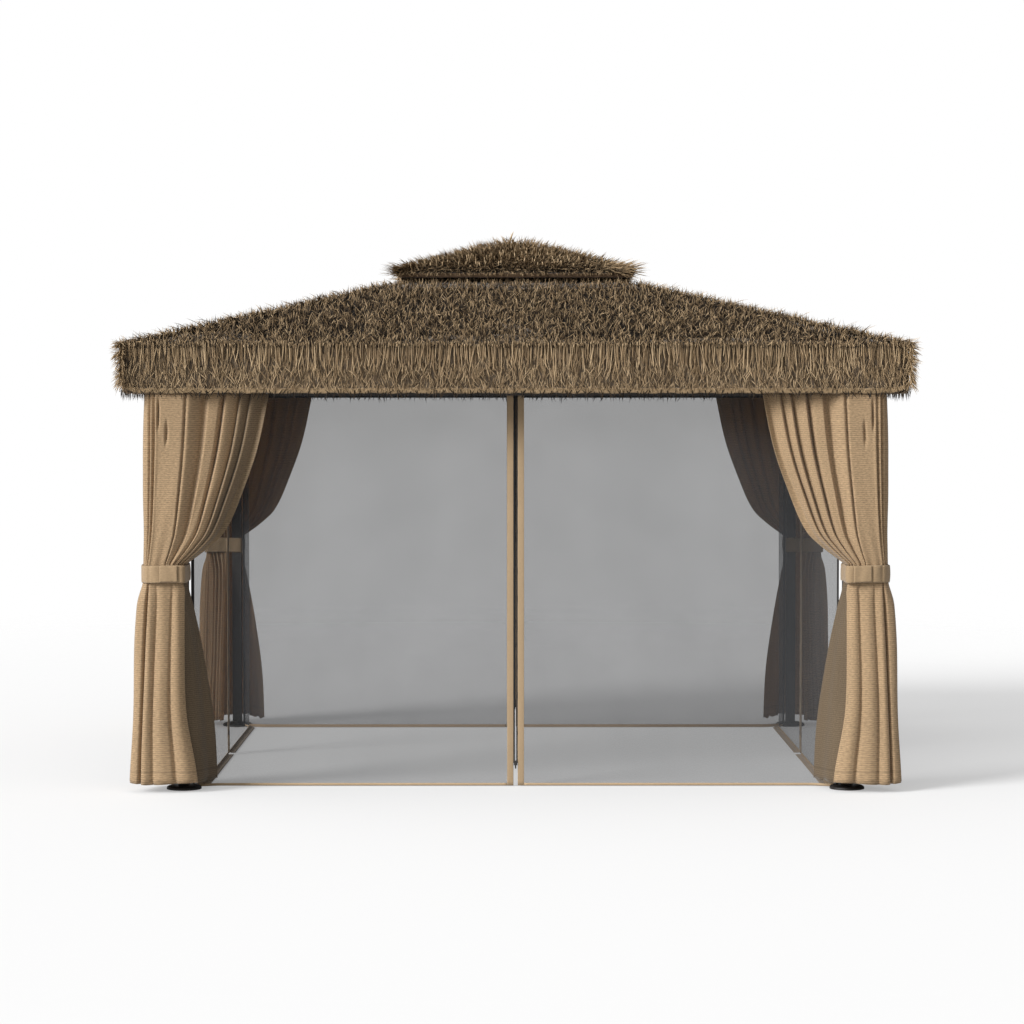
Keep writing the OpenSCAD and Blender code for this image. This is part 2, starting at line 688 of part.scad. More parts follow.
// In the tie it turns from the first angle to the last, and the powers say how soon it opens again
tie_turn = [92, -2];
open_above = 0.85;
open_below = 0.7;
end_share = 0.4;
function tie_point(u) = let (a = mix(tie_turn[0], tie_turn[1], u)) tie_mid * [cos(a), sin(a)];
function above(z) = let (span = curtain_top - tie_z - tie_h / 2)
    sin(90 * pow(max(0, z - tie_z - tie_h / 2) / span, open_above));
function below(z) = let (span = tie_z - tie_h / 2 - hem_z)
    pow(max(0, tie_z - tie_h / 2 - z) / span, open_below);
function base_point(u, z) = mix(mix(tie_point(u), spline(top_line, u), above(z)), spline(hem_line, u), below(z));
function fold_depth(z) = mix(mix(fold_tie, fold_top, above(z)), fold_hem, below(z));
function across(v) = [v[1], -v[0]] / -norm(v);

// Depth of the folds eases off towards the two free edges
function cloth_point(u, z) = base_point(u, z) + across(base_point(min(u + 0.01, 1), z)
    - base_point(max(u - 0.01, 0), z)) * fold_depth(z) * mix(end_share, 1, sin(180 * u)) * cos(360 * folds * u);

module curtain(sx, sy) {
    steps = 4 * folds;
    rows_below = 4;
    rows_above = 5;
    heights = concat([for (j = [0 : rows_below]) mix(hem_z, tie_z - tie_h / 2, j / rows_below)],
        [for (j = [0 : rows_above]) mix(tie_z + tie_h / 2, curtain_top, j / rows_above)]);
    last = len(heights) - 1;
    points = [for (z = heights, i = [0 : steps], side = [-1, 1])
        let (u = i / steps, here = cloth_point(u, z),
            along = cloth_point(min(i + 1, steps) / steps, z) - cloth_point(max(i - 1, 0) / steps, z),
            p = here - across(along) * side * curtain_t / 2) [p[0], p[1], z]];
    function at(j, i, side) = (j * (steps + 1) + i) * 2 + side;
    faces = concat(
        [for (j = [0 : last - 1], i = [0 : steps - 1], half = [0, 1])
            half == 0 ? [at(j, i, 0), at(j, i + 1, 0), at(j + 1, i + 1, 0)]
                : [at(j, i, 0), at(j + 1, i + 1, 0), at(j + 1, i, 0)]],
        [for (j = [0 : last - 1], i = [0 : steps - 1], half = [0, 1])
            half == 0 ? [at(j, i, 1), at(j + 1, i + 1, 1), at(j, i + 1, 1)]
                : [at(j, i, 1), at(j + 1, i, 1), at(j + 1, i + 1, 1)]],
        [for (i = [0 : steps - 1], half = [0, 1])
            half == 0 ? [at(0, i, 0), at(0, i, 1), at(0, i + 1, 1)]
                : [at(0, i, 0), at(0, i + 1, 1), at(0, i + 1, 0)]],
        [for (i = [0 : steps - 1], half = [0, 1])
            half == 0 ? [at(last, i, 0), at(last, i + 1, 1), at(last, i, 1)]
                : [at(last, i, 0), at(last, i + 1, 0), at(last, i + 1, 1)]],
        [for (j = [0 : last - 1], half = [0, 1])
            half == 0 ? [at(j, 0, 0), at(j + 1, 0, 0), at(j + 1, 0, 1)]
                : [at(j, 0, 0), at(j + 1, 0, 1), at(j, 0, 1)]],
        [for (j = [0 : last - 1], half = [0, 1])
            half == 0 ? [at(j, steps, 0), at(j + 1, steps, 1), at(j + 1, steps, 0)]
                : [at(j, steps, 0), at(j, steps, 1), at(j + 1, steps, 1)]]);
    color(cloth) corner_at(sx, sy) polyhedron(points, faces);
}

// A square opening with three round corners that wraps the post and the gathered cloth
module tie_outline(grow) {
    low = -post_w / 2 - fit - grow;
    high = tie_reach - tie_t + grow;
    side_r = tie_side_r + grow;
    far_r = tie_far_r + grow;
    hull() {
        translate([low, low]) square(lap);
        translate([low + side_r, high - side_r]) circle(side_r);
        translate([high - side_r, low + side_r]) circle(side_r);
        translate([high - far_r, high - far_r]) circle(far_r);
    }
}

module tiebacks() {
    color(cloth) for (sx = [-1, 1], sy = [-1, 1]) corner_at(sx, sy)
        translate([0, 0, tie_z - tie_h / 2]) linear_extrude(tie_h) difference() {
            tie_outline(tie_t);
            tie_outline(0);
        }
}

// A ring hung on a rail that runs along X, with its play below the rail
module hung_ring(rail_r) {
    translate([0, 0, -ring_play + fit]) rotate([0, 90, 0])
        rotate_extrude($fn = 24) translate([rail_r + ring_play + ring_wire, 0]) circle(ring_wire, $fn = 16);
}

// Each ring holds the cloth where a fold crosses the line of the rail
module curtain_rings() {
    count = 2 * folds;
    color("#c8c4bc") for (sx = [-1, 1], sy = [-1, 1]) corner_at(sx, sy)
        for (i = [0 : count - 1]) {
            place = spline(top_line, (i + 0.5) / count);
            if (abs(place[1] - curtain_out) < curtain_t / 2)
                translate([place[0], curtain_out, curtain_rail_z]) hung_ring(curtain_rail_r);
            else if (abs(place[0] - curtain_out) < curtain_t / 2)
                translate([curtain_out, place[1], curtain_rail_z]) rotate([0, 0, 90]) hung_ring(curtain_rail_r);
        }
}

// Nets
net_start = zip_w / 2 + binding_w + fit;
net_corner = 2;

module net_half(k, s) {
    length = run_of(k + 1, post_x, post_y) - net_in - net_corner - net_start;
    color("#55555588") wall(k) mirror([s > 0 ? 0 : 1, 0, 0])
        translate([net_start, -run_of(k, post_x, post_y) + net_in - net_t / 2, net_low])
            cube([length, net_t, net_top - net_low]);
}

module net_rings() {
    color("#c8c4bc") for (k = [0 : 3], s = [-1, 1], i = [0 : net_ring_count - 1]) {
        half = run_of(k + 1, post_x, post_y) - net_in - net_rail_r - 4 * eye_l;
        wall(k) translate([s * mix(net_start + eye_l, half, i / (net_ring_count - 1)),
            -run_of(k, post_x, post_y) + net_in, net_rail_z]) hung_ring(net_rail_r);
    }
}

// Binding of one half net with its zip tape and the eye it slides by
module zip_edge(k, s) {
    eye_at = zip_w / 2 + binding_w / 2;
    eye_r = net_rail_r + fit + eye_wall;
    color(cloth) wall(k) mirror([s > 0 ? 0 : 1, 0, 0]) translate([0, -run_of(k, post_x, post_y) + net_in, 0])
        difference() {
            union() {
                translate([zip_w / 2, -binding_t / 2, net_low]) cube([binding_w, binding_t, net_top - net_low]);
                translate([zip_slot / 2, -zip_t / 2, zip_low])
                    cube([zip_w / 2 - zip_slot / 2 + lap, zip_t, net_top - zip_low]);
                translate([eye_at - eye_l / 2, -binding_t / 2, net_top - lap])
                    cube([eye_l, binding_t, net_rail_z - net_top]);
                translate([eye_at - eye_l / 2, 0, net_rail_z]) rotate([0, 90, 0]) cylinder(r = eye_r, h = eye_l);
            }
            translate([eye_at - eye_l / 2 - lap, 0, net_rail_z]) rotate([0, 90, 0])
                cylinder(r = net_rail_r + fit, h = eye_l + 2 * lap);
        }
}

// Two wings joined by a neck that runs in the slot, and a pull tab on the outer wing
module zip_slider(k) {
    inner = zip_t / 2 + slide_fit;
    low = zip_low - slider_h / 2;
    neck = zip_slot - 2 * slide_fit;
    color("#17181a") wall(k) translate([0, -run_of(k, post_x, post_y) + net_in, 0]) {
        for (side = [-1, 1])
            translate([-slider_w / 2, side > 0 ? inner : -inner - slider_wall, low])
                cube([slider_w, slider_wall, slider_h]);
        translate([-neck / 2, -inner - lap, low]) cube([neck, 2 * inner + 2 * lap, slider_h]);
        translate([-pull_w / 2, -inner - 2 * slider_wall, low + slider_h - pull_drop - pull_l])
            cube([pull_w, slider_wall, pull_l]);
    }
}

post(-1, -1);  // post_front_left
post(1, -1);  // post_front_right
post(-1, 1);  // post_back_left
post(1, 1);  // post_back_right
foot_plates();
foot_cover(-1, -1);  // foot_cover_front_left
foot_cover(1, -1);  // foot_cover_front_right
foot_cover(-1, 1);  // foot_cover_back_left
foot_cover(1, 1);  // foot_cover_back_right
beam(0);  // beam_front
beam(1);  // beam_right
beam(2);  // beam_back
beam(3);  // beam_left
corner_brackets();
hip_rafters();
mid_rafters();
eave_rails();
vent_frame();
upper_rafters();
crown_hub();
lower_canopy();
upper_canopy();
lower_thatch(0);  // thatch_front
lower_thatch(1);  // thatch_right
lower_thatch(2);  // thatch_back
lower_thatch(3);  // thatch_left
valance();
upper_thatch();
curtain_rails();
net_rails();
rail_brackets();
curtain(-1, -1);  // curtain_front_left
curtain(1, -1);  // curtain_front_right
curtain(-1, 1);  // curtain_back_left
curtain(1, 1);  // curtain_back_right
tiebacks();
curtain_rings();
net_rings();
net_half(0, -1);  // net_front_left
net_half(0, 1);  // net_front_right
net_half(1, -1);  // net_right_front
net_half(1, 1);  // net_right_back
net_half(2, -1);  // net_back_right
net_half(2, 1);  // net_back_left
net_half(3, -1);  // net_left_back
net_half(3, 1);  // net_left_front
zip_edge(0, -1);  // zip_edge_front_left
zip_edge(0, 1);  // zip_edge_front_right
zip_edge(1, -1);  // zip_edge_right_front
zip_edge(1, 1);  // zip_edge_right_back
zip_edge(2, -1);  // zip_edge_back_right
zip_edge(2, 1);  // zip_edge_back_left
zip_edge(3, -1);  // zip_edge_left_back
zip_edge(3, 1);  // zip_edge_left_front
zip_slider(0);  // zip_slider_front
zip_slider(1);  // zip_slider_right
zip_slider(2);  // zip_slider_back
zip_slider(3);  // zip_slider_left
fasteners();
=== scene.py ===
import math
import bpy
import numpy as np
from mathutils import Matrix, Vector


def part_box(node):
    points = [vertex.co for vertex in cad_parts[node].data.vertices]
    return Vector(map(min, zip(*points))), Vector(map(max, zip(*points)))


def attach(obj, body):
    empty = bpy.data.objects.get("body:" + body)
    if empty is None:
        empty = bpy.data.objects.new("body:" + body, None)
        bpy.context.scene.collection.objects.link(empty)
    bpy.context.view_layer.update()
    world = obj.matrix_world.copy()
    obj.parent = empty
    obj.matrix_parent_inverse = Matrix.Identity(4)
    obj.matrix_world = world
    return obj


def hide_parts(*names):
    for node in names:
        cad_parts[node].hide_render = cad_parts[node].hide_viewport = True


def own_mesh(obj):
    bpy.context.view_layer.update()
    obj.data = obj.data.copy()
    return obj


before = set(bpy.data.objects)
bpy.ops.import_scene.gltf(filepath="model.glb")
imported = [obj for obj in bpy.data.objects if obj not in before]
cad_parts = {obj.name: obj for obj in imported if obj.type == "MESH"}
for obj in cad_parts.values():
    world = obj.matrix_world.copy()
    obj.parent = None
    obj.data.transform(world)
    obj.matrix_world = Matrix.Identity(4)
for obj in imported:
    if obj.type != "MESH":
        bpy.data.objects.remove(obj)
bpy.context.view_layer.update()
print("frame loaded:", len(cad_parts), "nodes")

# sizes read from the frame, in metres
# wall k is the front wall turned by k quarter turns
wallNames = ("front", "right", "back", "left")
wallEnds = {0: ("left", "right"), 1: ("front", "back"), 2: ("right", "left"), 3: ("back", "front")}
postLow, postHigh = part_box("post_front_right")
postX, postY = (postLow.x + postHigh.x) / 2, -(postLow.y + postHigh.y) / 2
roofX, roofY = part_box("valance")[1].x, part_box("valance")[1].y
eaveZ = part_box("valance")[1].z
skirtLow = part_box("lower_canopy")[0].z
skirtX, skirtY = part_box("lower_canopy")[1].x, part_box("lower_canopy")[1].y
ventX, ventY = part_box("vent_frame")[1].x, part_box("vent_frame")[1].y
tierX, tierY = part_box("upper_canopy")[1].x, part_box("upper_canopy")[1].y
tierLow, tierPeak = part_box("upper_canopy")[0].z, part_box("upper_canopy")[1].z
clothLow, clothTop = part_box("curtain_front_left")[0].z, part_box("curtain_front_left")[1].z
tieLow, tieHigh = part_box("tiebacks")[0].z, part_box("tiebacks")[1].z
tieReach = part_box("tiebacks")[1].x - postX
netLow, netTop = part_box("net_front_right")[0].z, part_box("net_front_right")[1].z
netNear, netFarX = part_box("net_front_right")[0].x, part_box("net_front_right")[1].x
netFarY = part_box("net_right_back")[1].y
netRailHalf = 0.006
netX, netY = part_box("net_rails")[1].x - netRailHalf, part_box("net_rails")[1].y - netRailHalf
roofShape = {"rise": 0.490, "tierRim": 0.023, "tierRise": 0.150, "matDrop": 0.024, "clothDrop": 0.0303}
dice = np.random.default_rng(41)


def halfAcross(k, x, y):
    return y if k % 2 else x


def halfOut(k, x, y):
    return x if k % 2 else y


def roofHalves(k):
    return halfAcross(k, roofX, roofY), halfOut(k, roofX, roofY)


def turned(points, k):
    # points of the front wall, turned to wall k
    points = np.asarray(points, float)
    c, s = ((1, 0), (0, 1), (-1, 0), (0, -1))[k]
    x, y = points[..., 0].copy(), points[..., 1].copy()
    out = points.copy()
    out[..., 0], out[..., 1] = c * x - s * y, s * x + c * y
    return out


def smoothLine(knots, values, at):
    # a smooth curve through the values, that stays between them
    knots, values = np.asarray(knots, float), np.asarray(values, float)
    step = np.diff(knots)
    slope = np.diff(values) / step
    lean = np.zeros(len(knots))
    for i in range(1, len(knots) - 1):
        if slope[i - 1] * slope[i] > 0:
            lean[i] = 2 / (1 / slope[i - 1] + 1 / slope[i])
    lean[0], lean[-1] = slope[0], slope[-1]
    at = np.clip(at, knots[0], knots[-1])
    i = np.clip(np.searchsorted(knots, at, side="right") - 1, 0, len(step) - 1)
    t = (at - knots[i]) / step[i]
    return (values[i] * (1 + 2 * t) * (1 - t) ** 2 + lean[i] * step[i] * t * (1 - t) ** 2
            + values[i + 1] * t * t * (3 - 2 * t) + lean[i + 1] * step[i] * t * t * (t - 1))


def throughPoints(points, at):
    # an even curve through a row of plan points, at 0 to 1
    points = np.asarray(points, float)
    last = len(points) - 1
    place = np.clip(np.asarray(at) * last, 0, last - 1e-9)
    i = place.astype(int)
    t = (place - i).reshape(place.shape + (1,) * (points.ndim - 1))
    before, after = points[np.clip(i - 1, 0, last)], points[np.clip(i + 2, 0, last)]
    start, end = points[i], points[i + 1]
    m0, m1 = (end - before) / 2, (after - start) / 2
    return (start * (1 + 2 * t) * (1 - t) ** 2 + m0 * t * (1 - t) ** 2
            + end * t * t * (3 - 2 * t) + m1 * t * t * (t - 1))


def deselectAll():
    bpy.ops.object.select_all(action="DESELECT")


def makeActive(obj):
    deselectAll()
    obj.select_set(True)
    bpy.context.view_layer.objects.active = obj


def meshPiece(name, points, faces, smooth=True):
    # faces is a list of index arrays, one for each number of corners
    mesh = bpy.data.meshes.new(name)
    points = np.asarray(points, np.float32).reshape(-1, 3)
    loops = np.concatenate([np.asarray(f).ravel() for f in faces]).astype(np.int32)
    totals = np.concatenate([np.full(len(f), np.asarray(f).shape[1]) for f in faces])
    starts = np.concatenate([[0], np.cumsum(totals)[:-1]]).astype(np.int32)
    mesh.vertices.add(len(points))
    mesh.vertices.foreach_set("co", points.ravel())
    mesh.loops.add(len(loops))
    mesh.loops.foreach_set("vertex_index", loops)
    mesh.polygons.add(len(starts))
    mesh.polygons.foreach_set("loop_start", starts)
    mesh.polygons.foreach_set("use_smooth", np.full(len(starts), smooth))
    mesh.update(calc_edges=True)
    mesh.validate()
    obj = bpy.data.objects.new(name, mesh)
    bpy.context.scene.collection.objects.link(obj)
    return obj


def gridPiece(name, points, uv, flip=False, closed=False):
    # a cloth grid: points and uv are arrays of rows and columns
    rows, cols = points.shape[:2]
    index = np.arange(rows * cols).reshape(rows, cols)
    if closed:
        index = np.concatenate([index, index[:, :1]], axis=1)
    quads = np.stack([index[:-1, :-1], index[:-1, 1:], index[1:, 1:], index[1:, :-1]], -1)
    quads = quads.reshape(-1, 4)
    if flip:
        quads = quads[:, ::-1]
    obj = meshPiece(name, points.reshape(-1, 3), [quads])
    layer = obj.data.uv_layers.new(name="UVMap")
    flat = uv.reshape(-1, 2)[quads.ravel()]
    if closed:
        # the last column's far side carries on past the seam
        flat = flat.reshape(-1, 4, 2)
        lastCol = (np.arange(len(quads)) % cols) == cols - 1
        span = uv[0, -1, 0] + (uv[0, 1, 0] - uv[0, 0, 0])
        for corner in range(4):
            isFar = lastCol & (quads[:, corner] % cols == 0)
            flat[isFar, corner, 0] = span
        flat = flat.reshape(-1, 2)
    layer.data.foreach_set("uv", flat.astype(np.float32).ravel())
    return obj


def thicken(obj, thickness, offset=-1.0):
    makeActive(obj)
    shell = obj.modifiers.new("thickness", "SOLIDIFY")
    shell.thickness, shell.offset, shell.use_even_offset = thickness, offset, False
    bpy.ops.object.modifier_apply(modifier="thickness")
    deselectAll()


def joinPieces(name, objs):
    deselectAll()
    for o in objs:
        o.select_set(True)
    bpy.context.view_layer.objects.active = objs[0]
    if len(objs) > 1:
        bpy.ops.object.join()
    objs[0].name = name
    deselectAll()
    return objs[0]


def dress(obj, body, slotName, material, *nodes):
    obj.data.materials.clear()
    obj.data.materials.append(material)
    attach(obj, body)
    if nodes:
        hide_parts(*nodes)
    return obj


# camera, from the photograph's viewing angle
cameraSet = {"place": (-0.049, -14.25, 1.785), "lens": 97.13, "tilt": 2.135, "yaw": 0.141}
camData = bpy.data.cameras.new("camera")
camData.lens, camData.sensor_width, camData.clip_end = cameraSet["lens"], 36, 60
camera = bpy.data.objects.new("camera", camData)
camera.location = cameraSet["place"]
camera.rotation_euler = (math.radians(90 - cameraSet["tilt"]), 0, math.radians(-cameraSet["yaw"]))
bpy.context.scene.collection.objects.link(camera)
bpy.context.scene.camera = camera

# light: a wide soft sun from the left front, and an even pale surround
lightSet = {"sunFrom": (-0.95, -0.66, 0.52), "sunAngle": 24, "sunPower": 3.9,
            "surround": 0.49, "backdrop": 1.0, "brightSide": (-0.75, -0.50, 0.42), "sideShare": 0.78}
sunData = bpy.data.lights.new("softSun", "SUN")
sunData.energy, sunData.angle = lightSet["sunPower"], math.radians(lightSet["sunAngle"])
sun = bpy.data.objects.new("softSun", sunData)
sun.rotation_euler = Vector(lightSet["sunFrom"]).to_track_quat("Z", "Y").to_euler()
sun.location = (-4, -4, 5)
bpy.context.scene.collection.objects.link(sun)
bpy.context.scene.view_settings.view_transform = "Standard"


def plug(tree, socket, value):
    # links an output socket to an input, or gives the input a value of its own
    if isinstance(value, bpy.types.NodeSocket):
        tree.links.new(value, socket)
    else:
        socket.default_value = value


def addNode(tree, kind, **inputs):
    # a node with its inputs by name, or as n and a number; a linked input is given as an output socket
    made = tree.nodes.new(kind)
    for name, value in inputs.items():
        numbered = name[0] == "n" and name[1:].isdigit()
        plug(tree, made.inputs[int(name[1:]) if numbered else name.replace("_", " ")], value)
    return made


def mathNode(tree, operation, a, b=0.0, c=0.0):
    made = addNode(tree, "ShaderNodeMath", n0=a, n1=b, n2=c)
    made.operation = operation
    return made.outputs[0]


def mixColours(tree, share, a, b, blend="MIX"):
    made = tree.nodes.new("ShaderNodeMix")
    made.data_type, made.blend_type = "RGBA", blend
    for place, value in ((0, share), (6, a), (7, b)):
        plug(tree, made.inputs[place], (*value, 1) if isinstance(value, tuple) else value)
    return made.outputs[2]


def rampNode(tree, factor, stops):
    made = tree.nodes.new("ShaderNodeValToRGB")
    tree.links.new(factor, made.inputs[0])
    ramp = made.color_ramp
    while len(ramp.elements) < len(stops):
        ramp.elements.new(0.5)
    for element, (place, colour) in zip(ramp.elements, stops):
        element.position = place
        element.color = (*colour, 1) if hasattr(colour, "__len__") else (colour, colour, colour, 1)
    return made.outputs[0]


def noiseNode(tree, vector, scale, detail=3.0, rough=0.55):
    made = addNode(tree, "ShaderNodeTexNoise", Vector=vector, Scale=scale, Detail=detail, Roughness=rough)
    return made.outputs["Fac"]


def aboutZero(tree, noise, amount):
    # noise that swings evenly to both sides of zero
    return mathNode(tree, "MULTIPLY", mathNode(tree, "SUBTRACT", noise, 0.5), amount)


def attributeNode(tree, name):
    made = tree.nodes.new("ShaderNodeAttribute")
    made.attribute_name = name
    return made.outputs["Fac"]


world = bpy.data.worlds.new("surround")
bpy.context.scene.world = world
world.use_nodes = True
sky = world.node_tree
sky.nodes.clear()
cameraRay = sky.nodes.new("ShaderNodeLightPath").outputs["Is Camera Ray"]
heading = sky.nodes.new("ShaderNodeTexCoord").outputs["Generated"]
# the surround is brighter on the sun's side, and the camera sees an even white
facingLight = addNode(sky, "ShaderNodeVectorMath", n0=heading, n1=lightSet["brightSide"])
facingLight.operation = "DOT_PRODUCT"
around = mathNode(sky, "MULTIPLY_ADD", facingLight.outputs["Value"],
                  lightSet["surround"] * lightSet["sideShare"], lightSet["surround"])
unseen = mathNode(sky, "MULTIPLY", mathNode(sky, "SUBTRACT", 1.0, cameraRay), around)
strength = mathNode(sky, "MULTIPLY_ADD", cameraRay, lightSet["backdrop"], unseen)
glow = addNode(sky, "ShaderNodeBackground", Color=(1, 1, 1, 1), Strength=strength)
addNode(sky, "ShaderNodeOutputWorld", Surface=glow.outputs[0])


def newGroup(name, inputs, outputs):
    # inputs and outputs are name, kind and starting value
    group = bpy.data.node_groups.new(name, "ShaderNodeTree")
    for title, kind, *start in inputs:
        made = group.interface.new_socket(title, in_out="INPUT", socket_type="NodeSocket" + kind)
        if start:
            made.default_value = start[0]
    for title, kind in outputs:
        group.interface.new_socket(title, in_out="OUTPUT", socket_type="NodeSocket" + kind)
    return group, group.nodes.new("NodeGroupInput").outputs, group.nodes.new("NodeGroupOutput").inputs


def useGroup(tree, group, **inputs):
    made = tree.nodes.new("ShaderNodeGroup")
    made.node_tree = group
    for name, value in inputs.items():
        plug(tree, made.inputs[name], value)
    return made.outputs


def makeWeave():
    # ribbed weave on a UV map in metres
    group, inp, out = newGroup("ribbedWeave", [
        ("uv", "Vector"), ("colour", "Color", (0.3, 0.2, 0.1, 1)), ("ribPitch", "Float", 0.007),
        ("ribDepth", "Float", 0.3), ("fleck", "Float", 0.2)], [("colour", "Color"), ("height", "Float")])
    parts = addNode(group, "ShaderNodeSeparateXYZ", Vector=inp["uv"])
    wander = mathNode(group, "MULTIPLY", noiseNode(group, inp["uv"], 9.0, 2.0), 0.9)
    across = mathNode(group, "ADD", mathNode(group, "DIVIDE", parts.outputs[1], inp["ribPitch"]), wander)
    wave = mathNode(group, "SINE", mathNode(group, "MULTIPLY", across, math.tau))
    rib = mathNode(group, "MULTIPLY_ADD", wave, 0.5, 0.5)
    stretch = addNode(group, "ShaderNodeMapping", Vector=inp["uv"], Scale=(75.0, 170.0, 1.0))
    slub = noiseNode(group, stretch.outputs[0], 1.0, 2.0)
    thread = mathNode(group, "MULTIPLY", noiseNode(group, inp["uv"], 700.0, 1.0), 0.3)
    patch = noiseNode(group, inp["uv"], 3.0, 2.0)
    height = mathNode(group, "ADD", mathNode(group, "MULTIPLY", rib, 0.7), thread)
    dark = mathNode(group, "MULTIPLY", mathNode(group, "SUBTRACT", 1.0, rib), inp["ribDepth"])
    flecks = aboutZero(group, slub, inp["fleck"])
    patches = aboutZero(group, patch, 0.25)
    marks = mathNode(group, "ADD", flecks, patches)
    shade = mathNode(group, "ADD", mathNode(group, "SUBTRACT", 1.0, dark), marks)
    tinted = addNode(group, "ShaderNodeVectorMath", n0=inp["colour"], n1=shade)
    tinted.operation = "MULTIPLY"
    group.links.new(tinted.outputs[0], out["colour"])
    group.links.new(height, out["height"])
    return group


def makeWear():
    # dust and small stains on Object coordinates, thicker near the floor
    group, inp, out = newGroup("dustAndWear", [
        ("place", "Vector"), ("colour", "Color", (0.1, 0.1, 0.1, 1)), ("dust", "Color", (0.3, 0.26, 0.2, 1)),
        ("amount", "Float", 0.2), ("floorHeight", "Float", 0.25)],
        [("colour", "Color"), ("roughness", "Float"), ("height", "Float")])
    parts = addNode(group, "ShaderNodeSeparateXYZ", Vector=inp["place"])
    low = addNode(group, "ShaderNodeMapRange", Value=parts.outputs[2], From_Min=0.0,
                  From_Max=inp["floorHeight"], To_Min=1.0, To_Max=0.25)
    cloud = rampNode(group, noiseNode(group, inp["place"], 6.0, 5.0, 0.65), [(0.35, 0.0), (0.7, 1.0)])
    speck = rampNode(group, noiseNode(group, inp["place"], 160.0, 2.0), [(0.5, 0.2), (0.75, 1.0)])
    most = mathNode(group, "MULTIPLY", low.outputs[0], inp["amount"])
    share = mathNode(group, "MULTIPLY", mathNode(group, "MULTIPLY", cloud, speck), most)
    group.links.new(mixColours(group, share, inp["colour"], inp["dust"]), out["colour"])
    group.links.new(mathNode(group, "MULTIPLY_ADD", share, 0.35, 0.5), out["roughness"])
    group.links.new(noiseNode(group, inp["place"], 380.0, 2.0), out["height"])
    return group


weaveGroup, wearGroup = makeWeave(), makeWear()


def newMaterial(name, **sockets):
    made = bpy.data.materials.new(name)
    made.use_nodes = True
    tree = made.node_tree
    tree.nodes.clear()
    shader = addNode(tree, "ShaderNodeBsdfPrincipled", **sockets)
    addNode(tree, "ShaderNodeOutputMaterial", Surface=shader.outputs[0])
    spots = tree.nodes.new("ShaderNodeTexCoord").outputs
    return made, tree, shader.inputs, spots


def bumpInto(tree, shader, height, depth, share=1.0):
    bump = addNode(tree, "ShaderNodeBump", Height=height, Distance=depth, Strength=share)
    tree.links.new(bump.outputs[0], shader["Normal"])


# the tint of the shade painted into the curtain cloth's colour
shadeTint = (0.37, 0.385, 0.405)


def clothFinish(name, colour, ribPitch, ribDepth, fleck, depth, hemAt=None, through=0.0):
    # hemAt is the height of a dark line, a row of stitches and partly painted shade along the hem's fold, and
    # through the share of light that passes
    made, tree, shader, spots = newMaterial(name, Roughness=0.82, Sheen_Weight=0.25,
                                            Sheen_Roughness=0.5, Specular_IOR_Level=0.25)
    woven = useGroup(tree, weaveGroup, uv=spots["UV"], colour=(*colour, 1),
                     ribPitch=ribPitch, ribDepth=ribDepth, fleck=fleck)
    worn = useGroup(tree, wearGroup, place=spots["Object"], colour=woven["colour"],
                    amount=0.12, floorHeight=0.4)
    outColour = worn["colour"]
    if hemAt:
        parts = addNode(tree, "ShaderNodeSeparateXYZ", Vector=spots["UV"])
        away = mathNode(tree, "ABSOLUTE", mathNode(tree, "SUBTRACT", parts.outputs[1], hemAt))
        # a dark line at the hem: stitches, and partly painted shade of the hem's fold
        line = mathNode(tree, "MULTIPLY", mathNode(tree, "LESS_THAN", away, 0.0022), 0.45)
        outColour = mixColours(tree, line, outColour, tuple(c * 0.35 for c in colour))
    if through:
        # an attribute paints shade into the cloth's colour, and some light passes through it
        paintedShade = mixColours(tree, 1.0, outColour, shadeTint, "MULTIPLY")
        outColour = mixColours(tree, attributeNode(tree, "shadeShare"), outColour, paintedShade)
        solid, end = tree.nodes["Principled BSDF"], tree.nodes["Material Output"]
        passing = addNode(tree, "ShaderNodeBsdfTranslucent", Color=outColour)
        both = addNode(tree, "ShaderNodeMixShader", Fac=through, n1=solid.outputs[0], n2=passing.outputs[0])
        tree.links.new(both.outputs[0], end.inputs["Surface"])
    tree.links.new(outColour, shader["Base Color"])
    bumpInto(tree, shader, woven["height"], depth, 0.6)
    return made


def steelFinish(name, colour, roughness, grain=0.0002, metallic=0.0, dust=0.2):
    made, tree, shader, spots = newMaterial(name, Metallic=metallic, Coat_Weight=0.15, Coat_Roughness=0.3)
    worn = useGroup(tree, wearGroup, place=spots["Object"], colour=(*colour, 1), amount=dust, floorHeight=0.5)
    tree.links.new(worn["colour"], shader["Base Color"])
    tree.links.new(mathNode(tree, "ADD", worn["roughness"], roughness - 0.12), shader["Roughness"])
    bumpInto(tree, shader, worn["height"], grain, 0.5)
    return made


def thatchFinish(name, stops, rootShade):
    # the tone attribute picks a strand's colour from the stops, and along paints shade towards its root,
    # where strands shade each other, and lightens it towards its tip
    made, tree, shader, spots = newMaterial(name, Roughness=0.62, Specular_IOR_Level=0.18)
    cloud = noiseNode(tree, spots["Object"], 5.0, 3.0)
    patch = aboutZero(tree, cloud, 0.3)
    base = rampNode(tree, mathNode(tree, "ADD", attributeNode(tree, "tone"), patch), stops)
    light = rampNode(tree, attributeNode(tree, "along"),
                     [(0.0, rootShade), (0.35, rootShade + 0.08), (0.65, 0.98), (1.0, 1.4)])
    streak = mathNode(tree, "MULTIPLY_ADD", noiseNode(tree, spots["Object"], 420.0, 2.0), 0.5, 0.75)
    shade = mixColours(tree, 1.0, mixColours(tree, 1.0, base, light, "MULTIPLY"), streak, "MULTIPLY")
    tree.links.new(shade, shader["Base Color"])
    bumpInto(tree, shader, noiseNode(tree, spots["Object"], 600.0, 2.0), 0.0006, 0.4)
    return made


